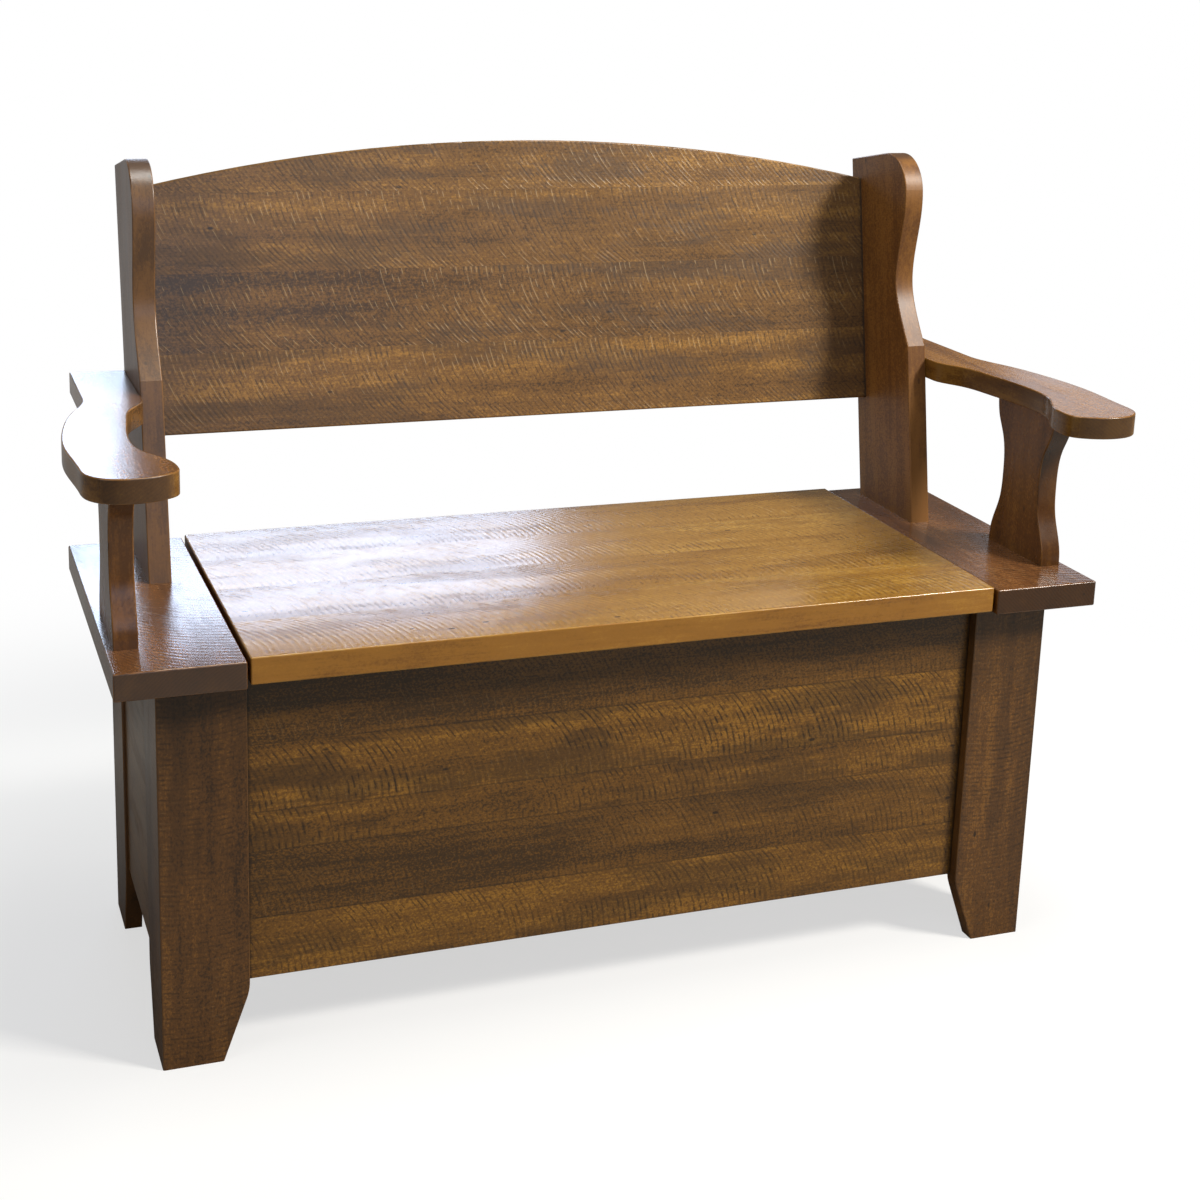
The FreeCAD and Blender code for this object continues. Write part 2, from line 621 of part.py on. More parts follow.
def frame_leaf():
    """Stands against the back of the chest."""
    plate = block(HINGE_X - HINGE_LENGTH / 2, HINGE_X + HINGE_LENGTH / 2,
                  CHEST_BACK, CHEST_BACK + LEAF_THICKNESS, HINGE_Z - LEAF_WIDTH, HINGE_Z)
    return leaf(plate, knuckle_spans(0), knuckle_spans(1),
                (CHEST_BACK, HINGE_Y), (HINGE_Z - HINGE_OFFSET, HINGE_Z + HINGE_OFFSET))


def lid_leaf():
    """Lies under the lid, above the top edge of the rear panel."""
    plate = block(HINGE_X - HINGE_LENGTH / 2, HINGE_X + HINGE_LENGTH / 2,
                  HINGE_Y - LEAF_WIDTH, HINGE_Y, LID_UNDERSIDE - LEAF_THICKNESS, LID_UNDERSIDE)
    return leaf(plate, knuckle_spans(1), knuckle_spans(0),
                (HINGE_Y - HINGE_OFFSET, HINGE_Y + HINGE_OFFSET), (HINGE_Z, LID_UNDERSIDE))


def hinge_pin():
    start = HINGE_X - HINGE_LENGTH / 2
    end = HINGE_X + HINGE_LENGTH / 2
    along = vec(1, 0, 0)
    head_start = start - PIN_HEAD_LENGTH
    shaft = Part.makeCylinder(PIN_RADIUS, HINGE_LENGTH, vec(start, HINGE_Y, HINGE_Z), along)
    head = Part.makeCylinder(PIN_HEAD_RADIUS, PIN_HEAD_LENGTH, vec(head_start, HINGE_Y, HINGE_Z), along)
    rivet = Part.makeCylinder(PIN_HEAD_RADIUS, PIN_HEAD_LENGTH, vec(end, HINGE_Y, HINGE_Z), along)
    return shaft.fuse([head, rivet]).removeSplitter()


# Assembly: every piece by its name, then the fasteners and their holes

parts = {}


def drill(names, fasteners):
    for name in names:
        parts[name] = parts[name].cut(fasteners.holes())


def build_pieces():
    for side_name, side in SIDES.items():
        parts["end_plank_" + side_name] = on_side(end_plank(), side)
        parts["lid_batten_" + side_name] = on_side(batten(), side)
        for end, move in (("front", lambda shape: shape), ("rear", to_rear)):
            corner = end + "_" + side_name
            parts["leg_" + corner + "_face"] = on_side(move(leg_face_board()), side)
            parts["leg_" + corner + "_side"] = on_side(move(leg_side_board()), side)
            parts["corner_block_" + corner] = on_side(move(corner_block()), side)
        parts["side_panel_" + side_name] = on_side(side_panel(), side)
        parts["bottom_cleat_" + side_name] = on_side(side_cleat(), side)
        parts["seat_cleat_" + side_name] = on_side(seat_cleat(), side)
        parts["post_" + side_name] = on_side(leaned(upright_post()), side)
        parts["arm_" + side_name] = on_side(arm(), side)
        parts["arm_support_" + side_name] = on_side(support(), side)
    parts["bottom_cleat_front"] = long_cleat(PANEL_BACK)
    parts["bottom_cleat_rear"] = long_cleat(REAR_PANEL_INSIDE - CLEAT_SIZE)
    blocks = [parts[name] for name in parts if name.startswith("corner_block")]
    parts["bottom_panel"] = bottom_panel(blocks)
    for number, board in enumerate(front_panel_boards(), 1):
        parts["front_panel_board_" + str(number)] = board
    for number, board in enumerate(lid_boards(), 1):
        parts["lid_board_" + str(number)] = board
    for number, board in enumerate(back_panel_boards(), 1):
        parts["back_panel_board_" + str(number)] = leaned(board)
    parts["rear_panel_boards"] = Part.makeCompound(rear_panel_boards())
    parts["hinge_frame_leaves"] = both_sides(frame_leaf())
    parts["hinge_lid_leaves"] = both_sides(lid_leaf())
    parts["hinge_pins"] = both_sides(hinge_pin())
    parts["lid_bumpers"] = both_sides(bumper())


def both_sides(shape):
    return Part.makeCompound([on_side(shape, side) for side in SIDES.values()])


def named(*starts):
    return [name for name in parts if name.startswith(starts)]


def fasten(node, fasteners, names):
    drill(names, fasteners)
    parts[node] = Part.makeCompound(fasteners.pieces())


def fasten_chest():
    """Screws hold the front panel to the legs, dowels the other panels."""
    front_screws = screws(PANEL_SCREW_LENGTH)
    panel_dowels = dowels(SMALL_DOWEL_RADIUS, SMALL_DOWEL_LENGTH)
    half_dowel = SMALL_DOWEL_LENGTH / 2
    lap_middle = LEG_INSIDE + FRONT_PANEL_LAP / 2
    rear_middle = CHEST_BACK - LEG_BOARD / 2
    side_middle = (CHEST_INSIDE + LEG_OUTSIDE - SIDE_PANEL_RECESS) / 2
    side_joints = (CHEST_FRONT + LEG_WIDTH, CHEST_BACK - LEG_WIDTH)
    seams = panel_seams()
    middles = [(low + high) / 2 for low, high in zip(seams[:-1], seams[1:])]
    for side in SIDES.values():
        for height in middles:
            front_screws.add(vec(side * lap_middle, PANEL_BACK, height), vec(0, -1, 0))
            panel_dowels.add(vec(side * (LEG_INSIDE - half_dowel), rear_middle, height), vec(side, 0, 0))
        for height in middles[::2]:
            for joint in side_joints:
                panel_dowels.add(vec(side * side_middle, joint - half_dowel, height), vec(0, 1, 0))
    legs = named("leg_")
    fasten("front_panel_screws", front_screws, named("front_panel_board", "leg_front_left_face",
                                                     "leg_front_right_face"))
    fasten("chest_dowels", panel_dowels, legs + named("side_panel", "rear_panel_boards"))


def fasten_seat():
    """Screws go up through the seat cleats, and through the battens into the lid."""
    seat_screws = screws(SEAT_SCREW_LENGTH)
    batten_screws = screws(BATTEN_SCREW_LENGTH)
    up = vec(0, 0, 1)
    front = CHEST_FRONT + LEG_BOARD + SEAT_SCREW_FROM_LEG
    back = POST_FOOT_FRONT - SEAT_SCREW_FROM_POST
    across = (SEAT_CLEAT_INNER + CHEST_INSIDE) / 2
    lid_middle = LID_HALF - BATTEN_FROM_LID_END
    foremost = PANEL_BACK + BATTEN_CLEARANCE + BATTEN_SCREW_FROM_END
    rearmost = REAR_PANEL_INSIDE - BATTEN_CLEARANCE - BATTEN_SCREW_FROM_END
    board_depth = (SEAT_DEPTH - LID_SETBACK) / LID_BOARDS
    for side in SIDES.values():
        for place in (front, (front + back) / 2, back):
            seat_screws.add(vec(side * across, place, SEAT_CLEAT_BOTTOM), up)
        for i in range(LID_BOARDS):
            middle = LID_SETBACK + board_depth * (i + 0.5)
            place = min(max(middle, foremost), rearmost)
            batten_screws.add(vec(side * lid_middle, place, LID_UNDERSIDE - BATTEN_THICKNESS), up)
    fasten("seat_screws", seat_screws, named("seat_cleat", "end_plank"))
    fasten("batten_screws", batten_screws, named("lid_batten", "lid_board"))


def fasten_uprights():
    """Long screws go up into the posts and the arm supports."""
    up = vec(0, 0, 1)
    post_screws = screws(POST_SCREW_LENGTH, LONG_SCREW_SHANK, LONG_SCREW_HEAD)
    support_screws = screws(SUPPORT_SCREW_LENGTH, LONG_SCREW_SHANK, LONG_SCREW_HEAD)
    post_middle = POST_FOOT_FRONT + POST_WIDTH / math.cos(LEAN) / 2
    half = UPRIGHT_SCREW_SPACING / 2
    for side in SIDES.values():
        for offset in (-half, half):
            post_screws.add(vec(side * (POST_INSIDE + POST_THICKNESS / 2), post_middle + offset,
                                SEAT_CLEAT_BOTTOM), up)
            support_screws.add(vec(side * (SUPPORT_INSIDE + SUPPORT_THICKNESS / 2),
                                   SUPPORT_CENTRE + offset, SEAT_UNDERSIDE), up)
    fasten("post_screws", post_screws, named("seat_cleat", "end_plank", "post_left", "post_right"))
    fasten("support_screws", support_screws, named("end_plank", "arm_support"))


def join_back_and_arms():
    """Dowels join the back panel to the posts, the arms to the posts, and the supports to the arms."""
    back_dowels = dowels(DOWEL_RADIUS, DOWEL_LENGTH)
    arm_dowels = dowels(DOWEL_RADIUS, DOWEL_LENGTH)
    arm_post_middle = ARM_POST_FRONT + POST_WIDTH / math.cos(LEAN) / 2
    half = UPRIGHT_SCREW_SPACING / 2
    for side in SIDES.values():
        outward = vec(side, 0, 0)
        for across, along in back_dowel_spots():
            start = side * (POST_INSIDE + DOWEL_IN_BOARD - DOWEL_LENGTH)
            back_dowels.add(leaned_point(start, across, along), outward)
        for offset in (-half, half):
            arm_dowels.add(vec(side * (POST_OUTSIDE - DOWEL_IN_BOARD), arm_post_middle + offset, ARM_MIDDLE),
                           outward)
            arm_dowels.add(vec(side * (SUPPORT_INSIDE + SUPPORT_THICKNESS / 2), SUPPORT_CENTRE + offset,
                               ARM_UNDERSIDE + DOWEL_IN_BOARD - DOWEL_LENGTH), vec(0, 0, 1))
    fasten("back_dowels", back_dowels, named("back_panel_board", "post_left", "post_right"))
    fasten("arm_dowels", arm_dowels, named("arm_left", "arm_right", "arm_support", "post_left", "post_right"))


def fasten_hinges():
    frame_screws = screws(HINGE_SCREW_LENGTH)
    lid_screws = screws(HINGE_SCREW_LENGTH)
    for side in SIDES.values():
        for step in (-1, 0, 1):
            x = side * (HINGE_X + step * HINGE_SCREW_PITCH)
            frame_screws.add(vec(x, CHEST_BACK + LEAF_THICKNESS, HINGE_Z - HINGE_SCREW_FROM_PIN),
                             vec(0, -1, 0))
            lid_screws.add(vec(x, HINGE_Y - HINGE_SCREW_FROM_PIN, LID_UNDERSIDE - LEAF_THICKNESS),
                           vec(0, 0, 1))
    fasten("hinge_frame_screws", frame_screws, named("hinge_frame_leaves", "rear_panel_boards"))
    fasten("hinge_lid_screws", lid_screws, named("hinge_lid_leaves", "lid_board"))


def save_all():
    os.makedirs("parts", exist_ok=True)
    for name, shape in parts.items():
        shape = shape.copy()
        shape.translate(vec(0, -ORIGIN_Y, 0))
        if not shape.isValid():
            raise ValueError(name + " is not a valid solid")
        shape.exportStep("parts/" + name + ".step")
        print(name, len(shape.Solids), round(shape.Volume))


build_pieces()
fasten_chest()
fasten_seat()
fasten_uprights()
join_back_and_arms()
fasten_hinges()
save_all()
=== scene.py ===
"""A wooden storage bench: the finish of its boards, its metal fittings, and a plain studio."""
import math
from collections import namedtuple

import bpy
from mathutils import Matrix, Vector


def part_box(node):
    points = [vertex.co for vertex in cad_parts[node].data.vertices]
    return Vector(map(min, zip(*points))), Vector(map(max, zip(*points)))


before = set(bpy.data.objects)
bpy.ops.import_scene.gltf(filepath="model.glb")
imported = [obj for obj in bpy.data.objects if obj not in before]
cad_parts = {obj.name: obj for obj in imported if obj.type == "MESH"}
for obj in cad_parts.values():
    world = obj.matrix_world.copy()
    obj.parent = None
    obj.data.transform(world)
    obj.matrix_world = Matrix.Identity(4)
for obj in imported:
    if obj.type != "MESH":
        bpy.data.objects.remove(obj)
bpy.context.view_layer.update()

# Lengths are in metres. +X is the bench's right as seen from the front, it faces -Y, +Z is up.
MILLIMETRE = 0.001
FAR = 10.0

# The posts and the back lean by this angle
LEAN = math.radians(10.5)

X = (1.0, 0.0, 0.0)
Y = (0.0, 1.0, 0.0)
Z = (0.0, 0.0, 1.0)
LEAN_UP = (0.0, math.sin(LEAN), math.cos(LEAN))
LEAN_BACK = (0.0, math.cos(LEAN), -math.sin(LEAN))

SIDES = ("left", "right")


def tint(red, green, blue):
    """A colour as a screen shows it, 0 to 255, turned into the linear values that shaders take."""
    def linear(value):
        share = value / 255
        return share / 12.92 if share <= 0.04045 else ((share + 0.055) / 1.055) ** 2.4
    return (linear(red), linear(green), linear(blue), 1.0)


WHITE = (1.0, 1.0, 1.0, 1.0)


# Building blocks of the materials

class Tree:
    """Adds nodes to a node tree. Apart from node and feed, each call returns the socket it makes."""

    def __init__(self, tree):
        self.tree = tree

    def node(self, kind, **settings):
        made = self.tree.nodes.new(kind)
        for name, value in settings.items():
            setattr(made, name, value)
        return made

    def feed(self, socket, value):
        """Links another socket to this one, or gives it a plain value."""
        if isinstance(value, bpy.types.NodeSocket):
            self.tree.links.new(value, socket)
        else:
            socket.default_value = value

    def math(self, operation, *values):
        made = self.node("ShaderNodeMath", operation=operation)
        for socket, value in zip(made.inputs, values):
            self.feed(socket, value)
        return made.outputs[0]

    def add(self, *values):
        total = values[0]
        for value in values[1:]:
            total = self.math("ADD", total, value)
        return total

    def times(self, *values):
        total = values[0]
        for value in values[1:]:
            total = self.math("MULTIPLY", total, value)
        return total

    def minus(self, a, b):
        return self.math("SUBTRACT", a, b)

    def mixed(self, *parts):
        """The sum of values, each times its share; parts are pairs of value and share."""
        return self.add(*[self.times(value, share) for value, share in parts])

    def unsigned(self, value):
        return self.math("ABSOLUTE", value)

    def dot(self, vector, axis):
        made = self.node("ShaderNodeVectorMath", operation="DOT_PRODUCT")
        self.feed(made.inputs[0], vector)
        self.feed(made.inputs[1], axis)
        return made.outputs["Value"]

    def length(self, vector):
        made = self.node("ShaderNodeVectorMath", operation="LENGTH")
        self.feed(made.inputs[0], vector)
        return made.outputs["Value"]

    def point(self, x, y, z):
        made = self.node("ShaderNodeCombineXYZ")
        for socket, value in zip(made.inputs, (x, y, z)):
            self.feed(socket, value)
        return made.outputs[0]

    def scaled(self, x, y, z):
        """The point on the object, in metres, times a scale along each axis."""
        at = self.node("ShaderNodeTexCoord").outputs["Object"]
        made = self.node("ShaderNodeVectorMath", operation="MULTIPLY")
        self.feed(made.inputs[0], at)
        self.feed(made.inputs[1], (x, y, z))
        return made.outputs[0]

    def noise(self, vector, seed, detail=2.0, roughness=0.5, distortion=0.0):
        made = self.node("ShaderNodeTexNoise", noise_dimensions="4D")
        self.feed(made.inputs["Vector"], vector)
        self.feed(made.inputs["W"], seed)
        made.inputs["Scale"].default_value = 1.0
        made.inputs["Detail"].default_value = detail
        made.inputs["Roughness"].default_value = roughness
        made.inputs["Distortion"].default_value = distortion
        return made.outputs[0]

    def cells(self, vector, seed):
        """The distance to the nearest of many scattered points."""
        made = self.node("ShaderNodeTexVoronoi", feature="F1", voronoi_dimensions="4D")
        self.feed(made.inputs["Vector"], vector)
        self.feed(made.inputs["W"], seed)
        made.inputs["Scale"].default_value = 1.0
        return made.outputs["Distance"]

    def ease(self, value, low, high, to_low=0.0, to_high=1.0):
        """A smooth step from one level to the other."""
        made = self.node("ShaderNodeMapRange", interpolation_type="SMOOTHSTEP")
        for socket, number in zip(made.inputs, (value, low, high, to_low, to_high)):
            self.feed(socket, number)
        return made.outputs[0]

    def spread(self, value, gain):
        """A noise value with its contrast raised about the middle, from -1 to 1."""
        raised = self.times(self.minus(value, 0.5), gain * 2)
        return self.math("MINIMUM", self.math("MAXIMUM", raised, -1.0), 1.0)

    def blend(self, share, a, b, mode="MIX"):
        """Two colours mixed; inputs 6 and 7 and output 2 are the node's colour sockets."""
        made = self.node("ShaderNodeMix", data_type="RGBA", blend_type=mode)
        self.feed(made.inputs[0], share)
        self.feed(made.inputs[6], a)
        self.feed(made.inputs[7], b)
        return made.outputs[2]

    def multiplied(self, a, b):
        return self.blend(1.0, a, b, "MULTIPLY")


NUMBER = "NodeSocketFloat"
COLOR = "NodeSocketColor"


def new_group(name, inputs, outputs):
    """An empty node group; inputs and outputs list the names of its sockets by their kind.

    Returns the group, its Tree, the sockets that bring its inputs and those that take its outputs.
    """
    group = bpy.data.node_groups.new(name, "ShaderNodeTree")
    for in_out, sockets in (("INPUT", inputs), ("OUTPUT", outputs)):
        for kind, names in sockets.items():
            for socket in names:
                group.interface.new_socket(name=socket, in_out=in_out, socket_type=kind)
    tree = Tree(group)
    given = tree.node("NodeGroupInput").outputs
    out = tree.node("NodeGroupOutput").inputs
    return group, tree, given, out


def new_material(name):
    material = bpy.data.materials.new(name)
    material.use_nodes = True
    material.node_tree.nodes.clear()
    return material, Tree(material.node_tree)


def shader(tree, color, roughness, height, **uniform):
    """A principled shader with a bump; height is in millimetres, uniform values go on its sockets."""
    surface = tree.node("ShaderNodeBsdfPrincipled")
    tree.feed(surface.inputs["Base Color"], color)
    tree.feed(surface.inputs["Roughness"], roughness)
    for socket, value in uniform.items():
        surface.inputs[socket.replace("_", " ")].default_value = value
    bump = tree.node("ShaderNodeBump")
    bump.inputs["Strength"].default_value = 1.0
    bump.inputs["Distance"].default_value = MILLIMETRE
    tree.feed(bump.inputs["Height"], height)
    tree.feed(surface.inputs["Normal"], bump.outputs[0])
    tree.feed(tree.node("ShaderNodeOutputMaterial").inputs["Surface"], surface.outputs[0])


# Saw marks: arcs that a circular blade left across a board, uneven and broken into strokes

MARK_INPUTS = ("along", "across", "seed", "radius", "centre", "turn", "pitch")

# Keeps the root real where a board reaches beyond its arcs, in square metres
LEAST_SQUARE = 0.0001

# The marks wander by this many pitches at most, with so many changes per metre
WANDER_PITCHES = 3.0
WANDER_SCALE = 7.0
WANDER_SEED = 11.3

# Noise of the strokes: changes per mark, changes per metre along a mark, seed, detail, roughness
UNEVEN = (1.3, 34.0, 3.7, 3.0, 0.7)
STROKES = (1.4, 120.0, 9.1, 3.0, 0.7)
DASHES = (0.9, 75.0, 6.2, 1.0, 0.5)
NICKS = (0.8, 110.0, 2.9, 1.0, 0.5)
STROKE_GAIN = 2.2

# Shares of the regular marks, the uneven ones and the strokes in the lines and in the ridges
REGULAR_LINES = 0.30
UNEVEN_LINES = 0.52
STROKE_LINES = 0.55
REGULAR_RIDGES = (0.15, 0.8)
UNEVEN_RIDGES = 0.35

# Levels at which an effect begins and at which it is full
RIDGE_DASHES = (0.35, 0.65)
HAIR_CRESTS = (0.78, 1.0)
HAIR_DASHES = (0.52, 0.62)
CUT_TROUGHS = (-0.35, -0.95)
CUT_NICKS = (0.46, 0.58)


def saw_mark_group():
    """Lines, negative in a trough and positive on a crest, ridges for the relief, hairs and cuts."""
    group, tree, given, out = new_group(
        "saw marks", {NUMBER: MARK_INPUTS}, {NUMBER: ("Lines", "Ridges", "Hairs", "Cuts")})
    along, across, seed, radius = (given[name] for name in ("along", "across", "seed", "radius"))

    from_centre = tree.minus(across, given["centre"])
    inside = tree.minus(tree.times(radius, radius), tree.times(from_centre, from_centre))
    arc = tree.math("SQRT", tree.math("MAXIMUM", inside, LEAST_SQUARE))
    sweep = tree.minus(along, tree.times(given["turn"], arc))
    wander = tree.noise(tree.point(tree.times(along, WANDER_SCALE), tree.times(across, WANDER_SCALE), 0.0),
                        tree.add(seed, WANDER_SEED), detail=1.0)
    phase = tree.add(tree.math("DIVIDE", sweep, given["pitch"]), tree.times(wander, WANDER_PITCHES))

    def stroke_noise(per_mark, per_metre, shift, detail, roughness):
        place = tree.point(tree.times(phase, per_mark), tree.times(across, per_metre), 0.0)
        return tree.noise(place, tree.add(seed, shift), detail, roughness)

    regular = tree.math("SINE", tree.times(phase, 2 * math.pi))
    uneven = tree.spread(stroke_noise(*UNEVEN), STROKE_GAIN)
    strokes = tree.spread(stroke_noise(*STROKES), STROKE_GAIN)
    dashes = stroke_noise(*DASHES)
    nicks = stroke_noise(*NICKS)
    broken = tree.ease(dashes, *RIDGE_DASHES, *REGULAR_RIDGES)
    tree.feed(out["Lines"],
              tree.mixed((regular, REGULAR_LINES), (uneven, UNEVEN_LINES), (strokes, STROKE_LINES)))
    tree.feed(out["Ridges"], tree.mixed((regular, broken), (uneven, UNEVEN_RIDGES)))
    tree.feed(out["Hairs"], tree.times(tree.ease(regular, *HAIR_CRESTS), tree.ease(dashes, *HAIR_DASHES)))
    tree.feed(out["Cuts"], tree.times(tree.ease(regular, *CUT_TROUGHS), tree.ease(nicks, *CUT_NICKS)))
    return group


# Wood: streaks and clouds of stain along the grain, fine fibres, saw marks, end grain, worn arrises

# Noise of the grain: changes per metre of length and of width, seed, detail, roughness, distortion
STREAKS = (1.5, 24.0, 0.0, 5.0, 0.55, 0.2)
BANDS = (4.2, 70.0, 8.8, 4.0, 0.6, 0.2)
CLOUDS = (7.0, 15.0, 1.9, 4.0, 0.6)
FIBRES = (30.0, 520.0, 2.3, 3.0, 0.65)
GRIT = (340.0, 440.0, 4.6, 2.0, 0.7)
ROUGH = (5.0, 24.0, 5.1, 4.0, 0.62)
RUBBED = (30.0, 90.0, 7.7, 3.0, 0.6)
RING_SHIFT = (0.0, 30.0, 0.0, 2.0)

# Cells that hold a speck each: changes per metre of length and of width
SPECK_SCALES = (28.0, 60.0)

# How strongly a noise is spread about its middle, clouds also for the roughness and the painted end shade
STREAK_GAIN = 2.0
BAND_GAIN = 1.9
FIBRE_GAIN = 1.8
GRIT_GAIN = 2.4
CLOUD_GAIN = 1.6
CLOUD_ROUGHNESS_GAIN = 1.5
CLOUD_SHADE_GAIN = 1.0

# Shares of the tone. Clouds and grit have one share on edges and another on faces
STREAK_TONE = 0.26
BAND_TONE = 0.26
FIBRE_TONE = 0.16
CLOUD_TONE = (0.42, 0.18)
GRIT_TONE = (0.14, 0.36)

# Level of the middle tone, between dark at 0 and light at 1
MIDDLE = 0.5

# How far the normal lies along the board's depth, or its length at an end, for none and all of an effect
FACE = (0.75, 0.97)
ARRIS_FROM_EDGE = (0.12, 0.4)
ARRIS_TO_FACE = (0.97, 0.8)
END_GRAIN = (0.7, 0.92)

# Levels at which an effect begins and at which it is full
ROUGH_PATCHES = (0.50, 0.59)
MARKED_ZONES = (0.42, 0.56)
VALLEY_LINES = (0.0, -0.80)
RIDGE_LINES = (0.25, 0.95)
RIDGE_BANDS = (0.42, 0.62)
HAIR_STREAKS = (0.44, 0.56)
SPECK_SIZE = (0.15, 0.08)
SPECK_STREAKS = (0.42, 0.52)
RUBBED_SPOTS = (0.35, 0.65)
SEAM_STREAKS = (0.35, 0.55)

# What lines, fibres and grit add to the noise of the rough patches
LINES_IN_ROUGH = -0.045
FIBRES_IN_ROUGH = -0.025
GRIT_IN_ROUGH = 0.02

# Saw marks show in zones that follow clouds and bands, and fade to a least share between them
CLOUDS_IN_ZONES = 0.6
BANDS_IN_ZONES = 0.4
LEAST_MARKED = 0.12

# A valley is stained by its base, and more in the rough patches
VALLEY_BASE = 0.55
VALLEY_IN_ROUGH = 0.45

# How far each of these hides the colour under it
ROUGH_COVER = 0.55
VALLEY_COVER = 0.55
RIDGE_HIGHLIGHT_COVER = 0.25
CUT_COVER = 0.72
HAIR_COVER = 0.34
SPECK_COVER = 0.85
END_COVER = 0.75
CORNER_COVER = 0.85
SEAM_COVER = 0.55

# Pale wood that shows in the finest scratches
SCRATCH = tint(204, 180, 138)

# The rings of the end grain lie round an axis at this place across the board and in its depth
RING_ACROSS = -0.05
RING_DEPTH = -0.09
RINGS_PER_METRE = 1900.0
RING_WOBBLE = 14.0
RING_LINES = (-0.6, 1.0)
RING_STAIN = (0.6, 1.0)

# Distances from an end or a seam, in metres, at which the darkening begins and at which it is full: stain
# at a seam, stain and painted shade at an end, and a broad painted shade towards the ends
CORNER_REACH = (0.006, 0.001)
SEAM_REACH = (0.0016, 0.0)
PAINTED_SHADE_REACH = (0.15, 0.03)

# How far fibres and clouds shift the border of that darkening, in metres
CORNER_RAGGED = 0.001
PAINTED_SHADE_RAGGED = 0.03

# What each of these adds to the roughness
CLOUD_ROUGHNESS = 0.05
PATCH_ROUGHNESS = 0.06
VALLEY_ROUGHNESS = 0.10
END_ROUGHNESS = 0.15
WORN_ROUGHNESS = -0.05

# What each of these adds to the height, in millimetres
HAIR_HEIGHT = 0.05
FIBRE_HEIGHT = 0.012
GRIT_HEIGHT = 0.02
CLOUD_HEIGHT = 0.14
STAIN_HEIGHT = -0.15

# Ridges keep their base between the zones and have all of their height inside
RIDGE_BASE = 0.4
RIDGE_IN_ZONES = 0.6

# The finish of a board, unless its piece says otherwise. Slope is the change of tone per metre along it,
# and shine is its roughness, so less is glossier. Marks, radius, centre, turn and pitch place the saw
# marks, and relief is their height in millimetres. Half length, low and high are the places at which a
# neighbour begins; far away means that there is none
# Painted end shade is the strength of a painted shade that darkens a board towards its ends, where a
# neighbouring piece shadows it
PLAIN_LOOK = {
    "tone": 0.0, "slope": 0.0, "contrast": 1.0,
    "marks": 1.0, "radius": 0.16, "centre": 0.0, "turn": 1.0, "pitch": 0.0068, "relief": 0.09,
    "scratches": 0.15, "wear": 0.6, "shine": 0.31,
    "half_length": FAR, "low": -FAR, "high": FAR, "painted_end_shade": 0.0,
}


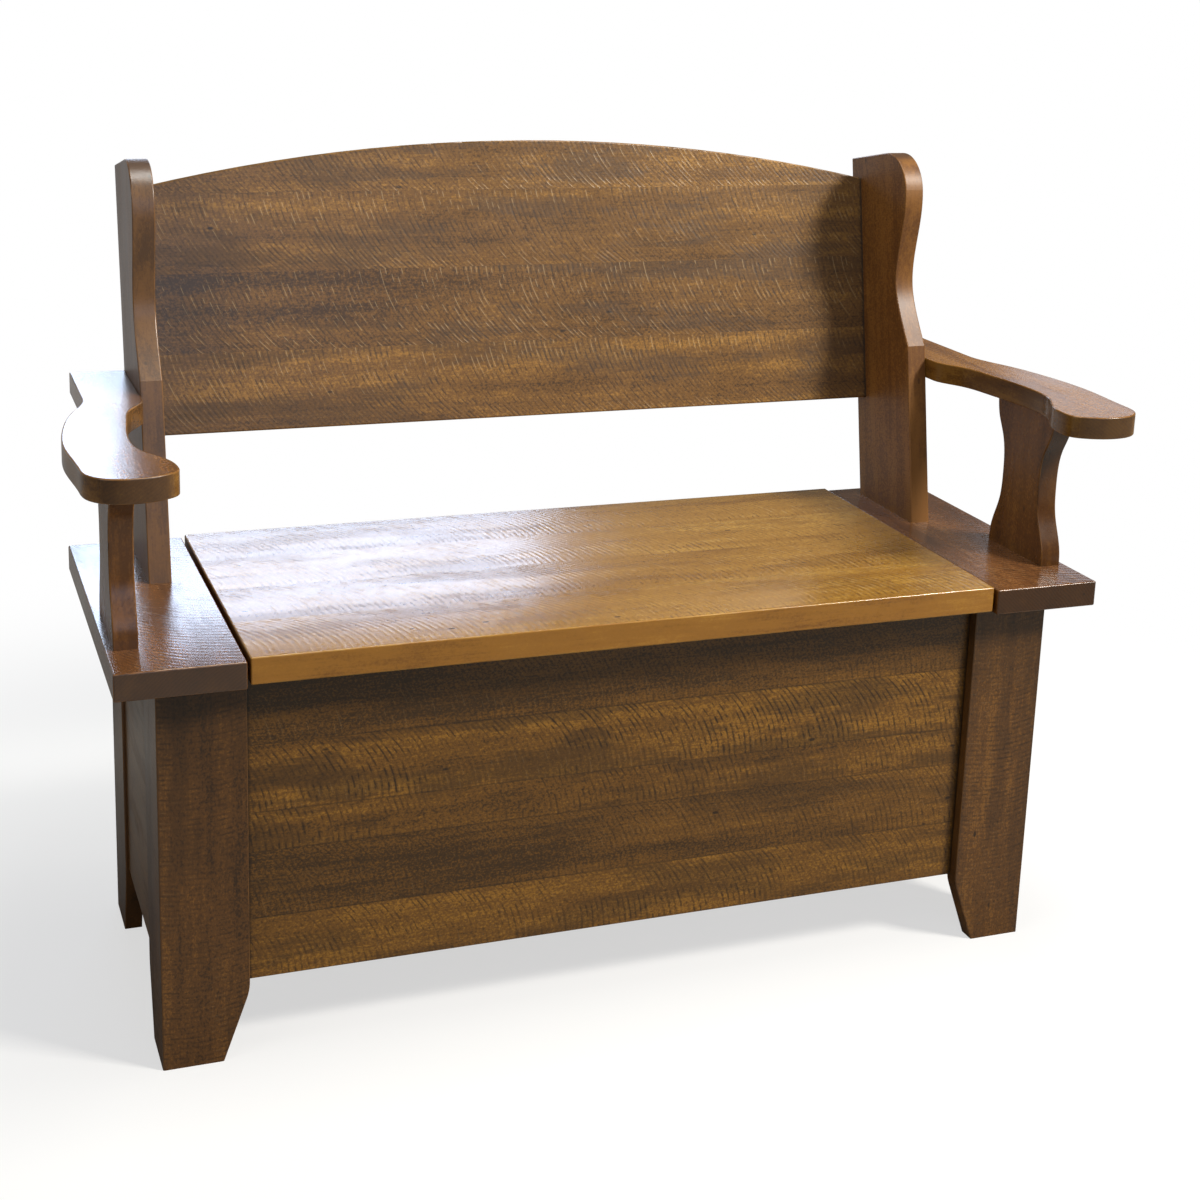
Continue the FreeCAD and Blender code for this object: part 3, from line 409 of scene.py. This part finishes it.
def wood_group(saw_marks):
    """Stained wood in the board's own directions: colour, roughness and height in millimetres."""
    group, tree, given, out = new_group(
        "wood",
        {NUMBER: ("along", "across", "depth", "normal_along", "normal_depth", "seed", *PLAIN_LOOK),
         COLOR: ("dark", "middle", "light", "stain", "edge_tone_and_painted_light")},
        {COLOR: ("Color",), NUMBER: ("Roughness", "Height")})
    along, across, depth, seed = (given[name] for name in ("along", "across", "depth", "seed"))
    dark, middle, light, stain = (given[name] for name in ("dark", "middle", "light", "stain"))

    def stretched(length_scale, width_scale):
        return tree.point(tree.times(along, length_scale), tree.times(across, width_scale),
                          tree.times(depth, width_scale))

    def grain(length_scale, width_scale, shift, *settings):
        return tree.noise(stretched(length_scale, width_scale), tree.add(seed, shift), *settings)

    streaks = grain(*STREAKS)
    bands = grain(*BANDS)
    clouds = grain(*CLOUDS)
    fibres = tree.spread(grain(*FIBRES), FIBRE_GAIN)
    grit = tree.spread(grain(*GRIT), GRIT_GAIN)
    facing = tree.unsigned(given["normal_depth"])
    face = tree.ease(facing, *FACE)

    tone = tree.mixed((tree.spread(streaks, STREAK_GAIN), STREAK_TONE),
                      (tree.spread(bands, BAND_GAIN), BAND_TONE),
                      (tree.spread(clouds, CLOUD_GAIN), tree.ease(face, 0.0, 1.0, *CLOUD_TONE)),
                      (fibres, FIBRE_TONE),
                      (grit, tree.ease(face, 0.0, 1.0, *GRIT_TONE)))
    level = tree.add(tree.times(tone, given["contrast"]), MIDDLE, given["tone"],
                     tree.times(along, given["slope"]))
    lower = tree.blend(tree.ease(level, 0.0, MIDDLE), dark, middle)
    color = tree.blend(tree.ease(level, MIDDLE, 1.0), lower, light)
    # Edges, away from the faces, are tinted: on some pieces this is the edges' own tone, on others a
    # painted sheen, and on others a painted shade
    color = tree.blend(tree.minus(1.0, face), color, tree.multiplied(color, given["edge_tone_and_painted_light"]))

    # Stain sits in the rough patches and in the marks, and the tops of the ridges are lighter, a painted
    # highlight
    marks = tree.node("ShaderNodeGroup", node_tree=saw_marks)
    for socket in MARK_INPUTS:
        tree.feed(marks.inputs[socket], given[socket])
    strength = tree.times(given["marks"], face)
    lines = marks.outputs["Lines"]
    ragged = tree.add(grain(*ROUGH), tree.times(lines, LINES_IN_ROUGH), tree.times(fibres, FIBRES_IN_ROUGH),
                      tree.times(grit, GRIT_IN_ROUGH))
    rough_patch = tree.ease(ragged, *ROUGH_PATCHES)
    zones = tree.mixed((clouds, CLOUDS_IN_ZONES), (bands, BANDS_IN_ZONES))
    marked = tree.ease(zones, *MARKED_ZONES, LEAST_MARKED, 1.0)
    valley = tree.times(tree.ease(lines, *VALLEY_LINES), marked,
                        tree.add(tree.times(rough_patch, VALLEY_IN_ROUGH), VALLEY_BASE), strength)
    ridge_highlight = tree.times(tree.ease(lines, *RIDGE_LINES), tree.ease(bands, *RIDGE_BANDS), strength)
    hairs = tree.times(marks.outputs["Hairs"], tree.ease(streaks, *HAIR_STREAKS), face, given["scratches"])
    cuts = tree.times(marks.outputs["Cuts"], marked, strength)
    color = tree.blend(tree.times(rough_patch, strength, ROUGH_COVER), color, dark)
    color = tree.blend(tree.times(valley, VALLEY_COVER), color, stain)
    color = tree.blend(tree.times(ridge_highlight, RIDGE_HIGHLIGHT_COVER), color, light)
    color = tree.blend(tree.times(cuts, CUT_COVER), color, stain)
    color = tree.blend(tree.times(hairs, HAIR_COVER), color, SCRATCH)

    # Small dark specks in the lighter streaks
    speck = tree.times(tree.ease(tree.cells(stretched(*SPECK_SCALES), seed), *SPECK_SIZE),
                       tree.ease(streaks, *SPECK_STREAKS), SPECK_COVER)
    color = tree.blend(speck, color, stain)

    # End grain
    end_grain = tree.ease(tree.unsigned(given["normal_along"]), *END_GRAIN)
    from_axis = tree.length(tree.point(tree.minus(across, RING_ACROSS), tree.minus(depth, RING_DEPTH), 0.0))
    rings = tree.math("SINE", tree.mixed((from_axis, RINGS_PER_METRE), (grain(*RING_SHIFT), RING_WOBBLE)))
    end_color = tree.blend(tree.ease(rings, *RING_LINES, *RING_STAIN), dark, stain)
    color = tree.blend(tree.times(end_grain, END_COVER), color, end_color)

    # An arris is the rounded strip between a face and an edge, so its normal lies between the two
    arris = tree.times(tree.ease(facing, *ARRIS_FROM_EDGE), tree.ease(facing, *ARRIS_TO_FACE))
    worn = tree.times(arris, tree.ease(grain(*RUBBED), *RUBBED_SPOTS), given["wear"])
    color = tree.blend(worn, color, light)

    # Stain gathers where a board meets its neighbour in the panel. Where it meets the piece at its end, a
    # narrow dark band is partly stain and partly painted shade, and a broad painted shade darkens the board
    # towards its ends, where a post or the seat shadows it
    from_end = tree.minus(given["half_length"], tree.unsigned(along))
    from_seam = tree.math("MINIMUM", tree.minus(across, given["low"]), tree.minus(given["high"], across))
    ragged_corner = tree.add(from_end, tree.times(fibres, CORNER_RAGGED))
    corner = tree.ease(ragged_corner, *CORNER_REACH, 0.0, CORNER_COVER)
    seam = tree.times(tree.ease(from_seam, *SEAM_REACH), tree.ease(streaks, *SEAM_STREAKS), SEAM_COVER)
    joint_stain_and_shade = tree.math("MAXIMUM", corner, seam)
    ragged_shade = tree.add(from_end, tree.times(tree.spread(clouds, CLOUD_SHADE_GAIN), PAINTED_SHADE_RAGGED))
    painted_end_shade = tree.times(tree.ease(ragged_shade, *PAINTED_SHADE_REACH), given["painted_end_shade"])
    color = tree.blend(tree.math("MAXIMUM", joint_stain_and_shade, painted_end_shade), color, stain)

    roughness = tree.add(given["shine"],
                         tree.times(tree.spread(clouds, CLOUD_ROUGHNESS_GAIN), CLOUD_ROUGHNESS),
                         tree.times(rough_patch, strength, PATCH_ROUGHNESS),
                         tree.times(valley, VALLEY_ROUGHNESS),
                         tree.times(end_grain, END_ROUGHNESS),
                         tree.times(worn, WORN_ROUGHNESS))
    relief = tree.times(marks.outputs["Ridges"], tree.add(tree.times(marked, RIDGE_IN_ZONES), RIDGE_BASE),
                        strength, given["relief"])
    height = tree.add(relief,
                      tree.times(hairs, HAIR_HEIGHT),
                      tree.times(fibres, FIBRE_HEIGHT),
                      tree.times(grit, GRIT_HEIGHT),
                      tree.times(clouds, CLOUD_HEIGHT),
                      tree.times(joint_stain_and_shade, STAIN_HEIGHT))
    tree.feed(out["Color"], color)
    tree.feed(out["Roughness"], roughness)
    tree.feed(out["Height"], height)
    return group


WOOD = wood_group(saw_mark_group())

# How a board lies in the bench: the directions of its grain, its width and its thickness
Cut = namedtuple("Cut", "along across depth")
SEAT_PLANK = Cut(Y, X, Z)
LID_BOARD = Cut(X, Y, Z)
PANEL_BOARD = Cut(X, Z, Y)
SIDE_BOARD = Cut(Y, Z, X)
LEG_FACE = Cut(Z, X, Y)
LEG_SIDE = Cut(Z, Y, X)
BACK_BOARD = Cut(X, LEAN_UP, LEAN_BACK)
POST_BOARD = Cut(LEAN_UP, LEAN_BACK, X)

# Stained tones, each as dark, middle, light, and the stain that gathers in the saw marks
LID_TONES = (tint(98, 64, 25), tint(140, 101, 42), tint(169, 130, 60), tint(72, 47, 20))
PLANK_TONES = (tint(66, 42, 25), tint(99, 63, 35), tint(128, 87, 49), tint(33, 22, 13))
PANEL_TONES = (tint(56, 38, 18), tint(103, 69, 26), tint(144, 101, 36), tint(30, 21, 12))
# The back's stain is bluish grey, partly a painted cool sheen where its boards mirror a cool light
BACK_TONES = (tint(66, 49, 34), tint(110, 79, 44), tint(150, 110, 54), tint(42, 35, 31))
LEG_TONES = (tint(50, 33, 18), tint(86, 56, 26), tint(118, 79, 34), tint(28, 20, 13))
SMOOTH_TONES = (tint(74, 45, 20), tint(104, 66, 28), tint(138, 94, 42), tint(48, 31, 17))
INNER_TONES = (tint(150, 112, 74), tint(182, 142, 98), tint(206, 170, 124), tint(110, 80, 52))


def wood(name, cut, tones, seed, specular=0.4, edge_tone_and_painted_light=WHITE, **look):
    """The material of one board. Look changes PLAIN_LOOK, and each seed makes a grain of its own."""
    material, tree = new_material(name)
    place = tree.node("ShaderNodeTexCoord")
    made = tree.node("ShaderNodeGroup", node_tree=WOOD)
    at, normal = place.outputs["Object"], place.outputs["Normal"]
    tree.feed(made.inputs["along"], tree.dot(at, cut.along))
    tree.feed(made.inputs["across"], tree.dot(at, cut.across))
    tree.feed(made.inputs["depth"], tree.dot(at, cut.depth))
    tree.feed(made.inputs["normal_along"], tree.dot(normal, cut.along))
    tree.feed(made.inputs["normal_depth"], tree.dot(normal, cut.depth))
    colors = dict(zip(("dark", "middle", "light", "stain"), tones), edge_tone_and_painted_light=edge_tone_and_painted_light)
    for socket, value in {**PLAIN_LOOK, **look, **colors, "seed": seed}.items():
        made.inputs[socket].default_value = value
    shader(tree, made.outputs["Color"], made.outputs["Roughness"], made.outputs["Height"],
           Specular_IOR_Level=specular)
    return material


def dress(node, material):
    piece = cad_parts[node]
    piece.data.materials.clear()
    piece.data.materials.append(material)


def dress_wood(node, cut, tones, seed, name=None, **look):
    """Gives a node a wood of its own, which is called after the node unless name says otherwise."""
    dress(node, wood(name or node.replace("_", " "), cut, tones, seed, **look))


# Seat. The arcs of a board curve round a centre that lies level with one of its edges or beyond it

LID_SEED = 10.0
LID_SEED_STEP = 3.1
LID_TONE_SHIFTS = (0.05, -0.02, 0.08, 0.0)
LID_LOOK = {"contrast": 0.85, "marks": 0.75, "radius": 0.14, "pitch": 0.0078, "relief": 0.14,
            "scratches": 0.8, "shine": 0.22, "specular": 0.5, "edge_tone_and_painted_light": (1.0, 0.86, 0.57, 1.0)}
PLANK_LOOK = {"marks": 0.7, "turn": -1.0, "pitch": 0.0090, "scratches": 0.4, "shine": 0.20,
              "edge_tone_and_painted_light": (0.78, 0.68, 0.28, 1.0)}
PLANK_SIDES = {"left": {"seed": 21.4, "relief": 0.08, "specular": 0.8},
               "right": {"seed": 27.9, "relief": 0.15, "specular": 0.4}}
PLANK_CENTRE_BEYOND = 0.03
PLANK_RADIUS_PER_WIDTH = 1.05

for number, tone in enumerate(LID_TONE_SHIFTS, 1):
    front_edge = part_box(f"lid_board_{number}")[0].y
    dress_wood(f"lid_board_{number}", LID_BOARD, LID_TONES, LID_SEED + LID_SEED_STEP * number,
               tone=tone, centre=front_edge, **LID_LOOK)
for side in SIDES:
    low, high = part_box(f"end_plank_{side}")
    dress_wood(f"end_plank_{side}", SEAT_PLANK, PLANK_TONES, centre=high.x + PLANK_CENTRE_BEYOND,
               radius=PLANK_CENTRE_BEYOND + PLANK_RADIUS_PER_WIDTH * (high.x - low.x),
               **PLANK_LOOK, **PLANK_SIDES[side])

# Chest. Boards of the front panel from the lowest to the highest, as tone, slope of tone and marks

FRONT_SEED = 31.0
FRONT_SEED_STEP = 4.7
FRONT_BOARDS = ((0.12, 0.0, 0.8), (-0.22, 0.25, 0.6), (0.02, 0.0, 0.8), (0.08, 0.1, 1.0),
                (-0.28, 0.15, 0.5))
FRONT_RADIUS = 0.115
FRONT_CENTRE_BELOW = 0.01
REAR_LOOK = {"seed": 61.0, "marks": 0.5, "centre": 0.3, "radius": 0.3}
SIDE_LOOK = {"tone": -0.1, "marks": 0.7, "centre": 0.3, "radius": 0.3}
SIDE_SEEDS = {"left": 63.2, "right": 66.8}
END_SEED_SHIFTS = {"front": 0.0, "rear": 1.7}
LEG_FACE_SEED_SHIFT = 7.0
LEG_SIDE_SEED_SHIFT = 17.0
LEG_FACE_CENTRE_SHIFT = -0.01
# The painted end shade darkens the tops of the leg faces, a painted shadow under the seat
LEG_FACE_LOOK = {"turn": -1.0, "radius": 0.22, "pitch": 0.0056, "relief": 0.07, "marks": 0.6,
                 "painted_end_shade": 0.35}
LEG_SIDE_LOOK = {"turn": -1.0, "radius": 0.22, "pitch": 0.0062, "relief": 0.06, "marks": 0.6,
                 "tone": -0.1}

panel_half = abs(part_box("leg_front_left_face")[1].x)
for number, (tone, slope, marks) in enumerate(FRONT_BOARDS, 1):
    low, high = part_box(f"front_panel_board_{number}")
    dress_wood(f"front_panel_board_{number}", PANEL_BOARD, PANEL_TONES,
               FRONT_SEED + FRONT_SEED_STEP * number, tone=tone, slope=slope, marks=marks,
               centre=low.z - FRONT_CENTRE_BELOW, radius=FRONT_RADIUS,
               half_length=panel_half, low=low.z, high=high.z)
dress_wood("rear_panel_boards", PANEL_BOARD, PANEL_TONES, name="rear panel", half_length=panel_half,
           **REAR_LOOK)
for side, side_seed in SIDE_SEEDS.items():
    dress_wood(f"side_panel_{side}", SIDE_BOARD, PANEL_TONES, side_seed, **SIDE_LOOK)
    for end, shift in END_SEED_SHIFTS.items():
        low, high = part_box(f"leg_{end}_{side}_face")
        dress_wood(f"leg_{end}_{side}_face", LEG_FACE, LEG_TONES,
                   side_seed + LEG_FACE_SEED_SHIFT + shift,
                   centre=(low.x + high.x) / 2 + LEG_FACE_CENTRE_SHIFT, half_length=high.z,
                   **LEG_FACE_LOOK)
        low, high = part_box(f"leg_{end}_{side}_side")
        dress_wood(f"leg_{end}_{side}_side", LEG_SIDE, LEG_TONES,
                   side_seed + LEG_SIDE_SEED_SHIFT + shift,
                   centre=(low.y + high.y) / 2, **LEG_SIDE_LOOK)

# Back. Its boards from the lowest to the highest, as tone and slope of tone

BACK_SEED = 91.0
BACK_SEED_STEP = 5.3
BACK_BOARDS = ((0.06, 0.0), (-0.16, 0.30), (-0.02, 0.12), (0.04, 0.10))
# The painted end shade darkens the back's boards towards the posts, a painted shadow of the posts
BACK_LOOK = {"turn": -1.0, "radius": 0.16, "pitch": 0.0066, "relief": 0.10, "scratches": 0.9,
             "marks": 0.8, "specular": 0.5, "painted_end_shade": 0.3}

# Measured up the lean: the lower edge of the back, the width of a board, and the arcs' centre above it
BACK_FOOT = 0.612
BACK_BOARD_WIDTH = 0.093
BACK_CENTRE_ABOVE = 0.03

back_half = abs(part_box("post_left")[1].x)
for number, (tone, slope) in enumerate(BACK_BOARDS, 1):
    board_top = BACK_FOOT + BACK_BOARD_WIDTH * number
    dress_wood(f"back_panel_board_{number}", BACK_BOARD, BACK_TONES,
               BACK_SEED + BACK_SEED_STEP * number, tone=tone, slope=slope,
               centre=board_top + BACK_CENTRE_ABOVE, half_length=back_half, **BACK_LOOK)

# Posts, arms and their supports: smooth but for faint marks, with a tone of its own on each side, and
# painted sheen and painted shade on some of their edges

POST_LOOK = {"marks": 0.25, "radius": 0.4, "pitch": 0.0031, "relief": 0.02}
# The left post's edges are tinted paler and cooler, a painted cool sheen, and the right post's edges
# darker, a painted shade
POST_SIDES = {
    "left": {"seed": 121.0, "tone": -0.2, "shine": 0.38, "specular": 0.9,
             "edge_tone_and_painted_light": (1.0, 1.12, 1.25, 1.0)},
    "right": {"seed": 127.0, "tone": 0.3, "shine": 0.45, "specular": 0.45,
              "edge_tone_and_painted_light": (0.76, 0.72, 0.66, 1.0)}}
ARM_LOOK = {"contrast": 1.3, "marks": 0.15, "radius": 0.4, "pitch": 0.0043, "relief": 0.03,
            "shine": 0.24, "specular": 0.5}
# The left arm's edges are tinted paler and cooler, a painted cool sheen
ARM_SIDES = {
    "left": {"seed": 124.3, "tone": 0.0, "edge_tone_and_painted_light": (1.15, 1.35, 1.60, 1.0)},
    "right": {"seed": 130.3, "tone": 0.25, "edge_tone_and_painted_light": (0.72, 0.78, 0.62, 1.0)}}
SUPPORT_LOOK = {"marks": 0.0, "shine": 0.27, "specular": 0.5}
# The right support's edges are darkened, a painted shadow under the arm's overhang
SUPPORT_SIDES = {
    "left": {"seed": 122.1, "tone": -0.4},
    "right": {"seed": 128.1, "tone": 0.0, "edge_tone_and_painted_light": (0.42, 0.38, 0.33, 1.0)}}

for side in SIDES:
    dress_wood(f"post_{side}", POST_BOARD, SMOOTH_TONES, **POST_LOOK, **POST_SIDES[side])
    dress_wood(f"arm_{side}", SEAT_PLANK, SMOOTH_TONES, **ARM_LOOK, **ARM_SIDES[side])
    dress_wood(f"arm_support_{side}", LEG_SIDE, SMOOTH_TONES, **SUPPORT_LOOK, **SUPPORT_SIDES[side])

# Inside the chest and under the seat: plain unstained wood, with a seed from the length of the name

LENGTHWISE_SEED_STEP = 9.1
CROSSWISE_SEED_STEP = 8.3
UPRIGHT_SEED_STEP = 7.9


def dress_inside(cut, seed_step, *nodes):
    for node in nodes:
        dress_wood(node, cut, INNER_TONES, len(node) * seed_step, marks=0.0)


dress_inside(LID_BOARD, LENGTHWISE_SEED_STEP, "bottom_panel", "bottom_cleat_front", "bottom_cleat_rear")
for side in SIDES:
    dress_inside(SIDE_BOARD, CROSSWISE_SEED_STEP,
                 f"bottom_cleat_{side}", f"seat_cleat_{side}", f"lid_batten_{side}")
    dress_inside(LEG_FACE, UPRIGHT_SEED_STEP, f"corner_block_front_{side}", f"corner_block_rear_{side}")


# Dowels, metal and rubber

FLECKS_PER_METRE = 900.0
FLECK_LEVELS = (0.4, 0.65)
HINGE_SCRATCHES_PER_METRE = 2600.0
SCREW_SCRATCHES_PER_METRE = 3400.0
TARNISH_PER_METRE = 90.0
TARNISH_LEVELS = (0.35, 0.65)
RUBBER_PER_METRE = 700.0

# A brushed scratch is so much shorter across than along
BRUSH_STRETCH = 0.08


def dowel_wood():
    material, tree = new_material("beech dowel")
    at = tree.scaled(FLECKS_PER_METRE, FLECKS_PER_METRE, FLECKS_PER_METRE)
    flecks = tree.noise(at, seed=1.0, detail=3.0)
    color = tree.blend(tree.ease(flecks, *FLECK_LEVELS), tint(186, 148, 104), tint(206, 172, 128))
    shader(tree, color, roughness=tree.add(0.55, tree.times(flecks, 0.1)), height=tree.times(flecks, 0.05))
    return material


def brushed_metal(name, dark, light, per_metre):
    """Metal with so many brushed scratches per metre, which run along X, and soft spots of tarnish."""
    material, tree = new_material(name)
    scratches = tree.noise(tree.scaled(per_metre * BRUSH_STRETCH, per_metre, per_metre),
                           seed=3.0, detail=3.0, roughness=0.7)
    tarnish = tree.noise(tree.scaled(TARNISH_PER_METRE, TARNISH_PER_METRE, TARNISH_PER_METRE),
                         seed=5.0, detail=3.0, roughness=0.6)
    color = tree.blend(tree.ease(tarnish, *TARNISH_LEVELS), light, dark)
    shader(tree, color, roughness=tree.add(0.28, tree.times(scratches, 0.14), tree.times(tarnish, 0.1)),
           height=tree.times(scratches, 0.02), Metallic=1.0)
    return material


def rubber():
    material, tree = new_material("bumper rubber")
    grain = tree.noise(tree.scaled(RUBBER_PER_METRE, RUBBER_PER_METRE, RUBBER_PER_METRE),
                       seed=2.0, detail=3.0, roughness=0.6)
    color = tree.blend(grain, tint(34, 31, 28), tint(58, 54, 50))
    shader(tree, color, roughness=tree.add(0.6, tree.times(grain, 0.2)), height=tree.times(grain, 0.06))
    return material


DOWEL = dowel_wood()
HINGE = brushed_metal("hinge plating", tint(150, 122, 72), tint(196, 170, 112),
                      HINGE_SCRATCHES_PER_METRE)
SCREW = brushed_metal("screw zinc", tint(150, 148, 144), tint(196, 194, 188),
                      SCREW_SCRATCHES_PER_METRE)
RUBBER = rubber()
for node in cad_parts:
    if node.endswith("dowels"):
        dress(node, DOWEL)
    elif node.endswith("screws"):
        dress(node, SCREW)
    elif node.startswith("hinge_"):
        dress(node, HINGE)
dress("lid_bumpers", RUBBER)


# Camera, solved from the straight edges of the bench in the photograph, 1200 pixels square

PHOTO_SIZE = 1200
FOCAL_PIXELS = 1957.5
CENTRE_PIXEL = (586.8, 414.2)
SENSOR_MILLIMETRES = 36.0
CAMERA_PLACE = (-0.7563, -2.0482, 1.1595)
CAMERA_TURN_DEGREES = (76.445, -1.7515, -19.970)


def photo_camera():
    data = bpy.data.cameras.new("camera")
    data.sensor_width = SENSOR_MILLIMETRES
    data.lens = SENSOR_MILLIMETRES * FOCAL_PIXELS / PHOTO_SIZE
    data.shift_x = (PHOTO_SIZE / 2 - CENTRE_PIXEL[0]) / PHOTO_SIZE
    data.shift_y = (CENTRE_PIXEL[1] - PHOTO_SIZE / 2) / PHOTO_SIZE
    camera = bpy.data.objects.new("camera", data)
    camera.location = CAMERA_PLACE
    camera.rotation_euler = [math.radians(angle) for angle in CAMERA_TURN_DEGREES]
    bpy.context.scene.collection.objects.link(camera)
    bpy.context.scene.camera = camera


photo_camera()


# Studio: a pale floor, a white backdrop, and soft lamps, three of them windows behind the bench

WORLD_LIGHT = 0.175
WORLD_COLOR = (1.0, 0.95, 0.87, 1.0)

# The part of the backdrop that glossy boards mirror: its direction, half its width and its strength
BACKDROP_DIRECTION = (-0.10, 0.96, 0.25)
BACKDROP_EDGE = math.radians(32)
BACKDROP_SHARE = 0.4

# The floor's colour in the picture, and a duller one for the light that it throws back
FLOOR_SEEN = (0.80, 0.80, 0.79, 1.0)
FLOOR_BOUNCE = (0.30, 0.29, 0.27, 1.0)
FLOOR_REACH = 30.0

# Its share of white near the bench, and the distances over which that grows to all white
FLOOR_LIFT = 0.62
FLOOR_FADE = (0.65, 1.6)

# How far behind the bench that white begins, and is full, for the boards that mirror it
FLOOR_BEHIND = (1.8, 4.0)

# Each lamp's place, the height at which it aims above the origin, its size, power in watts and colour
LAMPS = {
    "key": ((2.30, -2.12, 3.05), 0.45, (0.8, 0.8), 204.0, (1.0, 0.96, 0.89)),
    "overhead": ((0.3, -0.1, 3.4), 0.45, (1.2, 1.0), 52.0, (1.0, 1.0, 0.95)),
    "window": ((0.50, 3.4, 1.70), 0.45, (1.20, 0.7), 21.0, (0.57, 0.73, 1.0)),
    "window left": ((-0.38, 3.4, 1.75), 0.45, (0.50, 0.85), 13.5, (0.62, 0.76, 1.0)),
    "window right": ((3.05, 3.4, 1.50), 0.45, (0.5, 0.6), 1.6, (0.74, 0.84, 1.0)),
    "side": ((-3.0, -1.4, 2.0), 0.6, (1.4, 1.4), 20.0, (0.97, 0.96, 0.95)),
    "front": ((0.0, -3.6, 1.6), 0.8, (1.2, 1.2), 8.5, (0.50, 0.71, 1.0)),
}


def soft_lamp(name, place, aim_height, size, power, color):
    data = bpy.data.lights.new(name, "AREA")
    data.shape = "RECTANGLE"
    data.size, data.size_y = size
    data.energy = power
    data.color = color
    lamp = bpy.data.objects.new(name, data)
    lamp.location = place
    towards = Vector((0.0, 0.0, aim_height)) - Vector(place)
    lamp.rotation_euler = towards.to_track_quat("-Z", "Y").to_euler()
    bpy.context.scene.collection.objects.link(lamp)


def sees_white(tree, behind):
    """1 where white is seen straight or through glass, and a share of behind where it is mirrored."""
    path = tree.node("ShaderNodeLightPath")
    seen = tree.math("MAXIMUM", path.outputs["Is Camera Ray"], path.outputs["Is Transmission Ray"])
    return tree.math("MAXIMUM", seen, tree.times(path.outputs["Is Glossy Ray"], behind, BACKDROP_SHARE))


def studio_world():
    world = bpy.data.worlds.new("studio")
    world.use_nodes = True
    world.node_tree.nodes.clear()
    tree = Tree(world.node_tree)
    towards = tree.dot(tree.node("ShaderNodeTexCoord").outputs["Generated"], BACKDROP_DIRECTION)
    behind = tree.ease(towards, math.cos(BACKDROP_EDGE), math.cos(BACKDROP_EDGE / 2))
    light = tree.node("ShaderNodeBackground")
    light.inputs["Strength"].default_value = WORLD_LIGHT
    light.inputs["Color"].default_value = WORLD_COLOR
    white = tree.node("ShaderNodeBackground")
    white.inputs["Color"].default_value = WHITE
    mix = tree.node("ShaderNodeMixShader")
    tree.feed(mix.inputs[0], sees_white(tree, behind))
    tree.feed(mix.inputs[1], light.outputs[0])
    tree.feed(mix.inputs[2], white.outputs[0])
    tree.feed(tree.node("ShaderNodeOutputWorld").inputs["Surface"], mix.outputs[0])
    bpy.context.scene.world = world


def studio_floor():
    """A matt floor that keeps the shadow near the bench and turns white further out."""
    mesh = bpy.data.meshes.new("floor")
    reach = FLOOR_REACH
    mesh.from_pydata([(-reach, -reach, 0), (reach, -reach, 0), (reach, reach, 0), (-reach, reach, 0)],
                     [], [(0, 1, 2, 3)])
    floor = bpy.data.objects.new("floor", mesh)
    bpy.context.scene.collection.objects.link(floor)
    material, tree = new_material("floor")
    at = tree.node("ShaderNodeTexCoord").outputs["Object"]
    seen = sees_white(tree, tree.ease(tree.dot(at, Y), *FLOOR_BEHIND))
    matt = tree.node("ShaderNodeBsdfDiffuse")
    tree.feed(matt.inputs["Color"], tree.blend(seen, FLOOR_BOUNCE, FLOOR_SEEN))
    white = tree.node("ShaderNodeEmission")
    faded = tree.ease(tree.length(at), *FLOOR_FADE, FLOOR_LIFT, 1.0)
    mix = tree.node("ShaderNodeMixShader")
    tree.feed(mix.inputs[0], tree.times(seen, faded))
    tree.feed(mix.inputs[1], matt.outputs[0])
    tree.feed(mix.inputs[2], white.outputs[0])
    tree.feed(tree.node("ShaderNodeOutputMaterial").inputs["Surface"], mix.outputs[0])
    mesh.materials.append(material)


studio_world()
studio_floor()
for lamp_name, lamp_look in LAMPS.items():
    soft_lamp(lamp_name, *lamp_look)

bpy.context.scene.view_settings.view_transform = "Standard"
